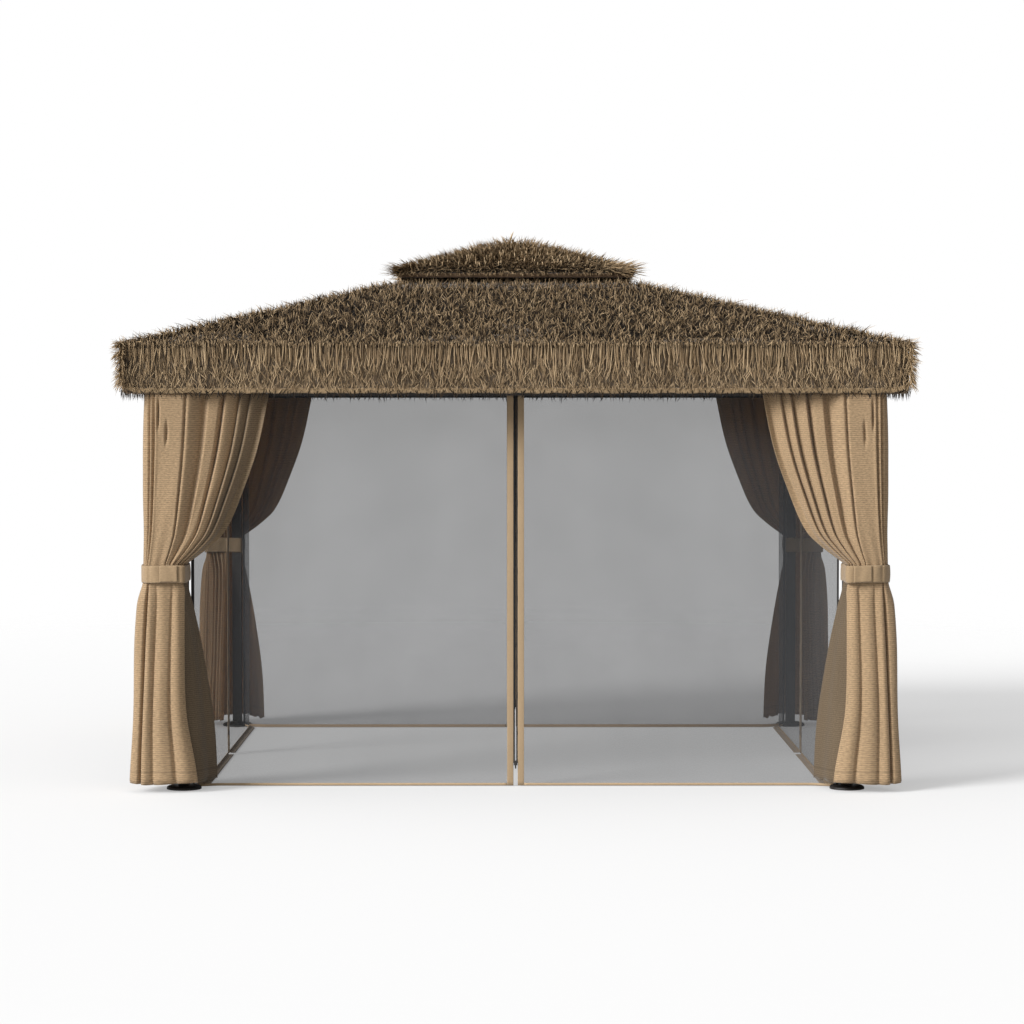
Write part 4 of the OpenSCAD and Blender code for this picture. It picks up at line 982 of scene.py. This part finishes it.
for k in range(4):
    mat = slopeMat(k, tierX - 0.004, tierY - 0.004, 0.004, 1.0, tierHeight, 0.006, 14, 8)
    fields = [
        tierBody(k, tierSet["strands"]),
        tierField(k, tierSet["hanging"], (0.25, 0.95), (-0.98, 0.98), (0, -1), 10, (40, 80), (-110, -80),
                  (0.060, 0.100), (0.006, 0.0085), (0.75, 1.0), 0.026, longStrand),
        tierField(k, tierSet["sideways"], (0.84, 1.0), (0.82, 1.0), (0.90, -0.44), 22, (-14, 34), (-26, 16),
                  (0.090, 0.155), (0.0030, 0.0046), (0.25, 0.9)),
        tierField(k, tierSet["fringe"], (0.995, 1.005), (-1, 1), (0, -1), 20, (-25, 10), (-95, -75),
                  (0.016, 0.034), (0.0036, 0.006), (0.15, 0.7)),
    ]
    if k == 0:
        fields += [crownField(tierSet["crown"]), leafField()]
    tier = strandPiece("tier_thatch_" + wallNames[k], fields, mat)
    dress(tier, "root", "thatch", finishes["tier"], "upper_thatch")
print("upper tier grown")

# canopies: the cloth sags a little between its ribs
canopySet = {"sag": 0.0045, "thick": 0.0018, "rimThick": 0.0025, "skirtTop": 2.045, "skirtRipple": 0.0015}


def saggingCloth(name, halfX, halfY, shareIn, heightAt, drop, skirtHeights, n=32, m=10):
    # heightAt gives the slope's height for a share of the way out, and the skirt hangs from its edge
    points = []
    for share in np.linspace(shareIn, 1.0, m):
        line = []
        for k in range(4):
            a, b = halfAcross(k, halfX, halfY) * share, halfOut(k, halfX, halfY) * share
            v = np.linspace(-1, 1, n, endpoint=False)
            deepest = math.sin(math.pi * (share - shareIn) / (1 - shareIn))
            sag = canopySet["sag"] * np.abs(np.sin(v * math.pi)) * deepest
            line.append(turned(np.stack([a * v, np.full(n, -b), heightAt(share) - drop - sag], -1), k))
        points.append(np.concatenate(line))
    for z in skirtHeights:
        line = points[m - 1].copy()
        ripple = canopySet["skirtRipple"] if z < heightAt(1.0) - 0.1 else 0
        line[:, 2] = z + ripple * np.sin(np.arange(len(line)) * 1.9)
        points.append(line)
    return layRows(name, np.stack(points))


def skirtHeight(share):
    return planeHeight(share * skirtX / roofX)


def upperHeight(share):
    return tierHeight(share) - 0.003


lowerCloth = saggingCloth("lower_canopy_cloth", skirtX - 0.002, skirtY - 0.002, 0.237, skirtHeight,
                          roofShape["clothDrop"], np.linspace(canopySet["skirtTop"], skirtLow + 0.002, 7))
thicken(lowerCloth, canopySet["thick"])
dress(lowerCloth, "root", "canopy_cloth", finishes["canopy"], "lower_canopy")
upperCloth = saggingCloth("upper_canopy_cloth", tierX - 0.001, tierY - 0.001, 0.01, upperHeight,
                          0.0, [], 16, 8)
thicken(upperCloth, canopySet["thick"])
dress(upperCloth, "root", "canopy_cloth", finishes["canopy"], "upper_canopy")
# the rim's rows, by how far they stand out and how high above its lower edge
rimLine = ((-0.003, 0.023), (0, 0.021), (0.001, 0.012), (0, 0.002), (-0.003, 0))
rimRows = [(tierX + grow, tierY + grow, tierLow + rise) for grow, rise in rimLine]
rim = ringCloth("upper_canopy_rim", rimRows, 24, 0.006)
thicken(rim, canopySet["rimThick"])
dress(rim, "root", "canopy_cloth", finishes["rim"], "upper_canopy")
print("canopies laid")

# curtains: one corner sheet, mirrored to the four corners
curtainSet = {
    "cols": (236, 76), "rows": 84, "thick": 0.0014, "cut": 1.50, "overRail": 0.008,
    # plan lines from the free edge round the corner, as x and y from the post's middle,
    # at these shares of the cloth's width
    "lineAt": [0, .04, .30, .345, .42, .475, .53, .66, .83, 1.0],
    "topLine": [(-.412, .108), (-.374, .114), (-.125, .150), (-.035, .194), (.085, .196),
                (.148, .160), (.152, .060), (.137, -.080), (.128, -.240), (.062, -.400)],
    "tieLine": [(-.018, .050), (-.012, .118), (.045, .148), (.068, .150), (.136, .148),
                (.165, .125), (.171, .080), (.166, .030), (.145, -.006), (.060, -.012)],
    # four more lines below the tie, from its lower edge down to the hem
    "lowLines": (
        [(-.022, .020), (-.022, .045), (-.012, .128), (.018, .148), (.136, .150),
         (.168, .125), (.172, .080), (.166, .030), (.140, -.006), (.058, -.014)],
        [(-.050, .024), (-.044, .044), (-.013, .120), (.020, .146), (.140, .148),
         (.198, .112), (.186, .060), (.164, .020), (.122, -.020), (.055, -.055)],
        [(-.126, -.016), (-.118, .004), (-.020, .122), (.025, .150), (.162, .150),
         (.214, .110), (.200, .050), (.172, -.005), (.125, -.060), (.060, -.120)],
        [(-.150, -.032), (-.141, -.012), (-.072, .122), (-.010, .160), (.172, .156),
         (.231, .110), (.212, .040), (.180, -.020), (.135, -.080), (.066, -.150)]),
    "lowHeights": (0.043, 0.40, 0.86, 0.978, 1.062),
    # how far the cloth is gathered towards the tie line at these heights
    "edgeHeights": [1.062, 1.143, 1.21, 1.36, 1.61, 1.853],
    "edgeShares": [1.0, 0.735, 0.565, 0.38, 0.14, 0.0],
    # how far the folds stand out in front of those lines, above and below the tie
    "foldsAt": [0, .018, .078, .0830, .0875, .094, .136, .1405, .145, .152,
                .214, .2185, .223, .230, .251, .286, .294, .300, .308, .338,
                .3430, .350, .385, .418, .4287, .4366, .4445, .4523, .461, .474],
    "folds": [.019, -.0125, .015, .006, -.016, -.007, .017, .007, -.017, -.007,
              .019, .008, -.018, -.005, .012, .013, -.006, -.020, -.012, .006,
              -.014, .004, .002, .001, .004, -.014, .005, -.017, .003, -.006],
    "lowFoldsAt": [0, .10, .20, .285, .297, .306, .330, .352, .359, .366,
                   .382, .394, .3987, .404, .415, .425, .431, .438, .455, .474],
    "lowFolds": [.003, -.003, .002, -.004, -.014, .013, .015, .007, -.005, .008,
                 .016, .008, -.004, .006, .014, .007, -.030, .007, .012, .004],
    "sideFolds": 11, "sideDeep": 0.014,
    "deepAt": [0.043, 0.55, 0.90, 1.02, 1.16, 1.36, 1.70, 1.853],
    "deep": [1.2, 1.0, 0.7, 0.30, 0.6, 0.95, 1.0, 0.85],
    # short pinches near the top: share, middle height, half height, depth
    "pinches": [(.3935, 1.674, 0.060, 0.018), (.4225, 1.760, 0.080, 0.026)],
    # the share of the width that turns in below the tie, where shade is painted into the cloth's colour
    "turnedInShadeTo": 0.301,
    # painted shade on the inner folds of the front left curtain: their share of the width, the blend, the
    # amount
    "innerShadeTo": 0.165, "innerShadeBlend": 0.04, "innerShadeRise": 0.15, "paintedShade": 0.72,
}
corners = ((-1, -1, "front_left"), (1, -1, "front_right"), (-1, 1, "back_left"), (1, 1, "back_right"))


def curtainPoints(s):
    # the front part has finer columns than the part round the side
    frontTo, tieRows, margin = 0.485, 8, 0.02
    u = np.concatenate([np.linspace(0, frontTo, s["cols"][0], endpoint=False),
                        np.linspace(frontTo, 1, s["cols"][1])])
    half = s["rows"] // 2
    z = np.concatenate([np.linspace(clothTop + s["overRail"], tieHigh + margin, half, endpoint=False),
                        np.linspace(tieHigh + margin, tieLow - margin, tieRows, endpoint=False),
                        np.linspace(tieLow - margin, clothLow, s["rows"] - half - tieRows)])
    top, tie, *low = [np.stack([smoothLine(s["lineAt"], [q[i] for q in line], u) for i in (0, 1)], -1)
                      for line in (s["topLine"], s["tieLine"], *s["lowLines"])]
    gather = smoothLine(s["edgeHeights"], s["edgeShares"], z)[:, None, None]
    fallen = smoothLine(s["lowHeights"], [1, 0.75, 0.5, 0.25, 0], z)
    base = np.where(z[:, None, None] > tieHigh, top[None] * (1 - gather) + tie[None] * gather,
                    throughPoints(np.stack([tie, *low]), fallen))
    along = unit(np.gradient(base, u, axis=1))
    normal = np.stack([-along[..., 1], along[..., 0]], -1)
    u, z = u[None, :], z[:, None]
    side = np.arange(2 * s["sideFolds"] + 1)
    sideAt = list(np.linspace(0.492, 1.0, len(side)))
    sideOut = list(s["sideDeep"] * np.cos(side * math.pi) * (1 + 0.3 * np.sin(side * 2.4)))
    above, below = (smoothLine(at + sideAt, out + sideOut, u)
                    for at, out in ((s["foldsAt"], s["folds"]), (s["lowFoldsAt"], s["lowFolds"])))
    lower = np.clip((tieHigh - z) / 0.12, 0, 1)
    wobble = 1 + 0.12 * np.sin(3.1 * z + 9 * u) + 0.10 * np.sin(7.3 * z - 21 * u)
    swing = (above * (1 - lower) + below * lower) * smoothLine(s["deepAt"], s["deep"], z) * wobble
    loose = np.clip(np.abs(z - (tieLow + tieHigh) / 2) / 0.35, 0.05, 1)
    for at, middle, tall, depth in s["pinches"]:
        pinch = np.exp(-((u - at) / 0.0042) ** 2) * np.clip(1 - ((z - middle) / tall) ** 2, 0, 1)
        swing = swing - depth * pinch
    # small creases that fan out from the tie, and soft dents between the folds
    crease = 0.0022 * np.sin(150 * u + 5 * np.sin(4 * z) + 9 * z) * np.exp(-np.abs(z - 1.02) / 0.22)
    dent = 0.0030 * np.sin(5.2 * z + 23 * u) * np.sin(11 * u + 2.3 * z) * loose
    plan = base + normal * (swing + crease + dent)[..., None]
    drop = 0.005 * np.sin(u * 40 + 1.0) * (z < clothLow + 0.02)
    points = np.concatenate([plan, (z + drop)[..., None]], -1)
    uv = np.stack(np.broadcast_arrays(u * s["cut"], z - clothLow), -1)
    return points, uv


def shadeShares(s, sx, sy, points, u):
    # how much painted shade darkens the cloth at each point: the turned-in edge below the tie, and the inner
    # folds of the front left curtain
    dark = (u < s["turnedInShadeTo"]) & (points[..., 2] < tieLow) & (sy < 0)
    # the front left curtain's inner folds above the tie get painted shade
    if sx < 0 and sy < 0:
        inner = np.clip((s["innerShadeTo"] - u) / s["innerShadeBlend"], 0, 1)
        return dark + s["paintedShade"] * inner * np.clip((points[..., 2] - tieHigh) / s["innerShadeRise"], 0, 1)
    return dark


curtainShape, curtainUv = curtainPoints(curtainSet)
for sx, sy, name in corners:
    points = curtainShape.copy()
    points[..., 0] = sx * (postX + points[..., 0])
    points[..., 1] = sy * (postY + points[..., 1])
    sheet = gridPiece("curtain_cloth_" + name, points, curtainUv, flip=sx * sy < 0)
    # painted shade, kept on the sheet as an attribute that darkens its colour
    shares = shadeShares(curtainSet, sx, sy, points, curtainUv[..., 0] / curtainSet["cut"])
    shadeShare = sheet.data.attributes.new("shadeShare", "FLOAT", "POINT")
    shadeShare.data.foreach_set("value", shares.astype(np.float32).ravel())
    thicken(sheet, curtainSet["thick"], 0.0)
    # the back curtains take the lighter copy of the cloth, which is painted light
    finish = finishes["curtain" if sy < 0 else "curtainPaintedLight"]
    dress(sheet, "root", "curtain_cloth", finish, "curtain_" + name)
print("curtains hung")

# tie bands: a closed strap round the post and the gathered cloth
tieSet = {"near": -0.0313, "sideR": 0.020, "farR": 0.080, "postR": 0.003, "cols": 120, "rows": 13,
          "creaseAt": 0.087, "band": {"grow": -0.0012, "tall": 0.96, "shift": 0.0, "thick": 0.0035},
          "end": {"grow": 0.0022, "tall": 0.90, "shift": 0.001, "thick": 0.0025, "from": 0.17, "to": 0.275}}


def tieOutline(s, grow):
    # the band's line from above, in even steps: round the gathered cloth, and close to the post
    low, high = s["near"] - grow, tieReach + grow
    side, far, count = s["sideR"], s["farR"], s["cols"]
    ring = []
    for cx, cy, r, a0 in ((high - far, high - far, far + grow, 0), (low + side, high - side, side + grow, 90),
                          (low + s["postR"], low + s["postR"], s["postR"], 180),
                          (high - side, low + side, side + grow, 270)):
        ang = np.radians(np.linspace(a0, a0 + 90, 14))
        ring.append(np.stack([cx + r * np.cos(ang), cy + r * np.sin(ang)], -1))
    ring = np.concatenate(ring + [ring[0][:1]])
    run = np.concatenate([[0], np.cumsum(np.linalg.norm(np.diff(ring, axis=0), axis=-1))])
    at = np.linspace(0, run[-1], count, endpoint=False)
    return np.stack([np.interp(at, run, ring[:, 0]), np.interp(at, run, ring[:, 1])], -1), at, run[-1]


def tieSheet(s, name, sx, sy, part):
    # the whole band, or its loose end, which lies over it from one share of the round to another
    form = s[part]
    ring, at, total = tieOutline(s, form["grow"])
    whole = "from" not in form
    if not whole:
        keep = (at / total >= form["from"]) & (at / total <= form["to"])
        ring, at = ring[keep], at[keep]
    v = np.linspace(0, 1, s["rows"])[:, None]
    step = np.roll(ring, -1, axis=0) - np.roll(ring, 1, axis=0) if whole else np.gradient(ring, axis=0)
    normal = unit(np.stack([step[:, 1], -step[:, 0]], -1))
    edge = np.clip(np.minimum(v, 1 - v) / 0.09, 0, 1)
    puff = 0.0012 * np.sin(math.pi * v) + 0.0016 * (1 - np.abs(edge * 2 - 1)) - 0.0009 * (1 - edge)
    puff = puff - 0.0045 * np.exp(-((at[None] - s["creaseAt"]) / 0.0035) ** 2)
    wave = 0.0014 * np.sin(at[None] * 46 + 1.3 * sx) * np.sin(math.pi * v)
    wave = wave + 0.0010 * np.sin(at[None] * 117 + 2 * v + sy)
    plan = ring[None] + normal[None] * (puff + wave)[..., None]
    z = tieLow + (tieHigh - tieLow) * (0.5 + (v - 0.5) * form["tall"]) + form["shift"]
    z = z + 0.0015 * np.sin(at[None] * 23 + sx + 2 * sy)
    x, y = sx * (postX + plan[..., 0]), sy * (postY + plan[..., 1])
    points = np.stack([x, y, np.broadcast_to(z, plan.shape[:2])], -1)
    uv = np.stack(np.broadcast_arrays(at[None], v * (tieHigh - tieLow)), -1)
    made = gridPiece(name, points, uv, flip=sx * sy < 0, closed=whole)
    thicken(made, form["thick"])
    return made


for sx, sy, name in corners:
    band = tieSheet(tieSet, "tie_band_" + name, sx, sy, "band")
    end = tieSheet(tieSet, "tie_end_" + name, sx, sy, "end")
    for piece in (band, end):
        dress(piece, "root", "curtain_cloth", finishes["tie"], "tiebacks")
print("tie bands closed")

# nets: eight half walls, each with its hem, side tape and rings
netSet = {
    "cols": 105, "rows": 30, "waves": 3, "deep": 0.0045, "scallop": 0.0025, "hem": 0.012, "flange": 0.030,
    "bendFrom": 0.945, "bendOut": 0.044, "hemThick": 0.0016, "tapeThick": 0.0022, "headThick": 0.0018,
    "rings": 6, "ringR": 0.0105, "ringWire": 0.0015, "ringZ": 1.8673, "firstRing": 0.016, "lastRing": 0.030,
    # what is left of the width when a net is drawn, on the long walls and on the short ones
    "keepLong": 0.151, "keepShort": 0.176}
halves = [(k, s, wallNames[k] + "_" + end) for k in range(4) for s, end in zip((-1, 1), wallEnds[k])]


def netGrid(k, s, share, z):
    # points on half wall k, s is the end of it; share runs from the zip to the post
    far = halfAcross(k, netFarX, netFarY)
    phase = share * math.tau * netSet["waves"] + 0.6 * np.sin(2.1 * z + k + s) + 1.1 * s
    fuller = np.interp(z, [netLow, 0.35, 1.2, netTop], [0.0, 0.5, 0.6, 1.0])
    wave = netSet["deep"] * fuller * np.sin(phase)
    wave = wave + 0.0012 * np.clip(z / 0.2, 0, 1) * np.sin(2.7 * phase + 5 * z)
    bend = np.clip((share - netSet["bendFrom"]) / (1 - netSet["bendFrom"]), 0, 1) ** 1.3 * netSet["bendOut"]
    x = netNear + share * (far - netNear) + bend
    y = -halfOut(k, netX, netY) - wave - bend
    return turned(np.stack(np.broadcast_arrays(s * x, y, z), -1), k)


def pointsAndFaces(obj):
    # takes a small model apart, so that it can be repeated
    points = np.array([v.co for v in obj.data.vertices])
    faces = np.array([list(p.vertices) for p in obj.data.polygons])
    bpy.data.objects.remove(obj)
    deselectAll()
    return points, faces


def ringAt(radius, wire, segments, sides, longer=1.0):
    # a ring or a long eye round the X axis
    deselectAll()
    bpy.ops.mesh.primitive_torus_add(major_segments=segments, minor_segments=sides, major_radius=radius,
                                     minor_radius=wire, location=(0, 0, 0), rotation=(0, math.pi / 2, 0))
    ring = bpy.context.object
    ring.scale = (longer, 1, 1)
    bpy.ops.object.transform_apply(location=True, rotation=True, scale=True)
    return ring


ringPoints, ringFaces = pointsAndFaces(ringAt(netSet["ringR"], netSet["ringWire"], 18, 6))

for k, s, name in halves:
    far = halfAcross(k, netFarX, netFarY)
    wide, hemHigh, cols = far - netNear, netSet["hem"], netSet["cols"]
    share = np.linspace(0, 1, cols)[None, :]
    v = np.linspace(0, 1, netSet["rows"])[:, None]
    sagTop = netSet["scallop"] * np.sin(share * math.pi * (netSet["rings"] - 1)) ** 2
    z = netLow + hemHigh * 0.5 + (netTop - sagTop - netLow - hemHigh * 0.5) * v
    uv = np.stack(np.broadcast_arrays(share * wide, z), -1)
    net = gridPiece("net_cloth_" + name, netGrid(k, s, share, z), uv, flip=s > 0)
    dress(net, "root", "net", finishes["net"], "net_" + name)
    # hem: a low upright tape and a flange that lies inwards on the floor
    hemZ = netLow + np.array([hemHigh, hemHigh * 0.5, 0.001, 0, 0, 0])[:, None]
    inward = np.array([0, 0, 0.001, 0.006, netSet["flange"] * 0.6, netSet["flange"]])[:, None]
    hemPoints = netGrid(k, s, share, np.broadcast_to(hemZ, (6, cols)))
    hemPoints = hemPoints + turned([0, 1.0, 0], k)[None, None] * inward[..., None]
    hemUv = np.stack(np.broadcast_arrays(share * wide, hemZ - inward), -1)
    hem = gridPiece("net_hem_" + name, hemPoints, hemUv, flip=s < 0)
    thicken(hem, netSet["hemThick"], 0.0)
    tapeShare = 1 - np.array([0.005, 0.002, 0.0])[None, :] / wide
    tapeZ = np.linspace(netLow + 0.002, netTop, 40)[:, None]
    tapeUv = np.stack(np.broadcast_arrays(tapeShare * far, tapeZ), -1)
    tape = gridPiece("net_tape_" + name, netGrid(k, s, tapeShare, tapeZ), tapeUv, flip=s > 0)
    thicken(tape, netSet["tapeThick"], 0.0)
    headZ = np.array([0, -0.001, -0.0022])[:, None]
    headUv = np.stack(np.broadcast_arrays(share * wide, headZ + 0.012), -1)
    head = gridPiece("net_head_" + name, netGrid(k, s, share, netTop - sagTop + headZ), headUv, flip=s < 0)
    thicken(head, netSet["headThick"], 0.0)
    edging = joinPieces("net_edging_" + name, [tape, head])
    dress(hem, "root", "net", finishes["netHem"], "net_" + name)
    dress(edging, "root", "net", finishes["netEdge"], "net_" + name)
    # rings on the rail
    ringX = np.linspace(netNear + netSet["firstRing"], far - netSet["lastRing"], netSet["rings"])
    out = halfOut(k, netX, netY)
    sets = [turned(ringPoints + np.array([s * x, -out, netSet["ringZ"]]), k) for x in ringX]
    faces = np.concatenate([ringFaces + i * len(ringPoints) for i in range(netSet["rings"])])
    rings = meshPiece("net_ring_row_" + name, np.concatenate(sets), [faces])
    dress(rings, "root", "zinc", finishes["zinc"], "net_rings")
    axis = turned([1.0, 0, 0], k)
    anchor = turned([s * far, -out, 0.0], k)
    for piece in (net, hem, edging, rings):
        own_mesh(piece)
print("nets hung")

# zip edges: a stitched binding, the black tape with its teeth, and the eye on the rail
zipSet = {"bindIn": 0.0100, "bindOut": 0.0400, "bindThick": 0.0036, "seamIn": 0.004, "tapeIn": 0.0034,
          "tapeOut": 0.0105, "tapeThick": 0.0012, "tapeLow": 0.110, "pitch": 0.0050,
          "tooth": (0.0022, 0.0030, 0.0026), "toothAt": 0.0025, "eyeR": 0.0086, "eyeWire": 0.0016,
          "eyeLonger": 3.0, "eyeX": 0.025, "eyeZ": 1.870}


def toothModel(size):
    # one zip tooth: a small block with its outer end drawn in
    deselectAll()
    bpy.ops.mesh.primitive_cube_add(size=1, location=(0, 0, 0))
    tooth = bpy.context.object
    tooth.scale = size
    bpy.ops.object.transform_apply(location=True, rotation=True, scale=True)
    for p in tooth.data.polygons:
        p.select = p.normal.x < -0.9
    for e in tooth.data.edges:
        e.select = False
    bpy.ops.object.mode_set(mode="EDIT")
    bpy.ops.mesh.select_mode(type="FACE")
    bpy.ops.transform.resize(value=(1, 0.7, 0.6))
    bpy.ops.object.mode_set(mode="OBJECT")
    return tooth


toothPoints, toothFaces = pointsAndFaces(toothModel(zipSet["tooth"]))
for k, s, name in halves:
    out, zips = halfOut(k, netX, netY), zipSet
    body, node = "net_edge_" + name, "zip_edge_" + name
    # binding: folded over the net's edge, with two stitched seams
    x = np.linspace(zips["bindIn"], zips["bindOut"], 15)[None, :]
    seam = np.minimum(np.abs(x - zips["bindIn"] - zips["seamIn"]),
                      np.abs(x - zips["bindOut"] + zips["seamIn"]))
    puff = zips["bindThick"] / 2 * (1 - 0.45 * np.exp(-(seam / 0.0016) ** 2))
    puff = puff * np.clip((np.minimum(x - zips["bindIn"], zips["bindOut"] - x) + 0.0012) / 0.0024, 0.25, 1)
    z = np.linspace(netLow, netTop, 90)[:, None]
    ripple = 0.0005 * np.sin(z * 41 + k) + 0.0003 * np.sin(z * 97 + 30 * x)
    outer = np.stack(np.broadcast_arrays(s * x, -out - puff - ripple, z), -1)
    inner = np.stack(np.broadcast_arrays(s * x, -out + puff - ripple, z), -1)
    around = turned(np.concatenate([outer, inner[:, ::-1]], axis=1), k)
    width = np.concatenate([x[0], 2 * zips["bindOut"] - x[0][::-1]])
    uv = np.stack(np.broadcast_arrays(width[None], z), -1)
    binding = gridPiece("zip_binding_" + name, around, uv, flip=s < 0, closed=True)
    makeActive(binding)
    bpy.ops.object.mode_set(mode="EDIT")
    bpy.ops.mesh.select_mode(type="EDGE")
    bpy.ops.mesh.select_all(action="DESELECT")
    bpy.ops.mesh.select_non_manifold()
    bpy.ops.mesh.edge_face_add()
    bpy.ops.mesh.select_all(action="SELECT")
    bpy.ops.mesh.normals_make_consistent(inside=False)
    bpy.ops.object.mode_set(mode="OBJECT")
    dress(binding, body, "binding", finishes["binding"], node)
    # tape and teeth, which sit half a pitch apart on the two halves
    x = np.linspace(zips["tapeIn"], zips["tapeOut"], 4)[None, :]
    z = np.linspace(zips["tapeLow"], netTop, 60)[:, None]
    tapePoints = turned(np.stack(np.broadcast_arrays(s * x, -out, z), -1), k)
    tapeUv = np.stack(np.broadcast_arrays(x, z), -1)
    tape = gridPiece("zip_tape_" + name, tapePoints, tapeUv, flip=s > 0)
    thicken(tape, zips["tapeThick"], 0.0)
    count = int((netTop - zips["tapeLow"]) / zips["pitch"])
    toothZ = zips["tapeLow"] + zips["pitch"] * (np.arange(count) + (0.5 if s > 0 else 0.0) + 0.3)
    at = np.stack([np.full(count, zips["toothAt"]), np.full(count, -out), toothZ], -1)
    row = (toothPoints[None] + at[:, None]).reshape(-1, 3)
    row[:, 0] *= s
    faces = (toothFaces[None] + (np.arange(count) * len(toothPoints))[:, None, None]).reshape(-1, 4)
    faces = faces[:, ::-1] if s < 0 else faces
    teeth = meshPiece("zip_teeth_" + name, turned(row, k), [faces], smooth=False)
    zipper = joinPieces("zip_tape_" + name, [tape, teeth])
    dress(zipper, body, "slider", finishes["zipTape"], node)
    # the eye that carries the edge on the rail
    eye = ringAt(zips["eyeR"], zips["eyeWire"], 20, 8, zips["eyeLonger"])
    eyePoints = np.array([v.co for v in eye.data.vertices]) + np.array([s * zips["eyeX"], -out, zips["eyeZ"]])
    eye.data.vertices.foreach_set("co", turned(eyePoints, k).astype(np.float32).ravel())
    eye.name = "net_eye_" + name
    deselectAll()
    dress(eye, body, "binding", finishes["binding"], node)
print("zips sewn")

# finishes of the CAD nodes that stay
keptFinishes = (
    (("post_", "foot_plates", "beam_", "corner_", "hip_", "mid_", "eave_", "vent_", "upper_rafters",
      "crown_hub", "rail_brackets"), "post"),
    (("curtain_rails", "net_rails"), "rail"), (("foot_cover",), "foot"),
    (("curtain_rings", "fasteners"), "zinc"), (("zip_slider",), "slider"),
)
for nodeName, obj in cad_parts.items():
    for starts, finish in keptFinishes:
        if nodeName.startswith(starts):
            obj.data.materials.clear()
            obj.data.materials.append(finishes[finish])
print("steel parts finished")
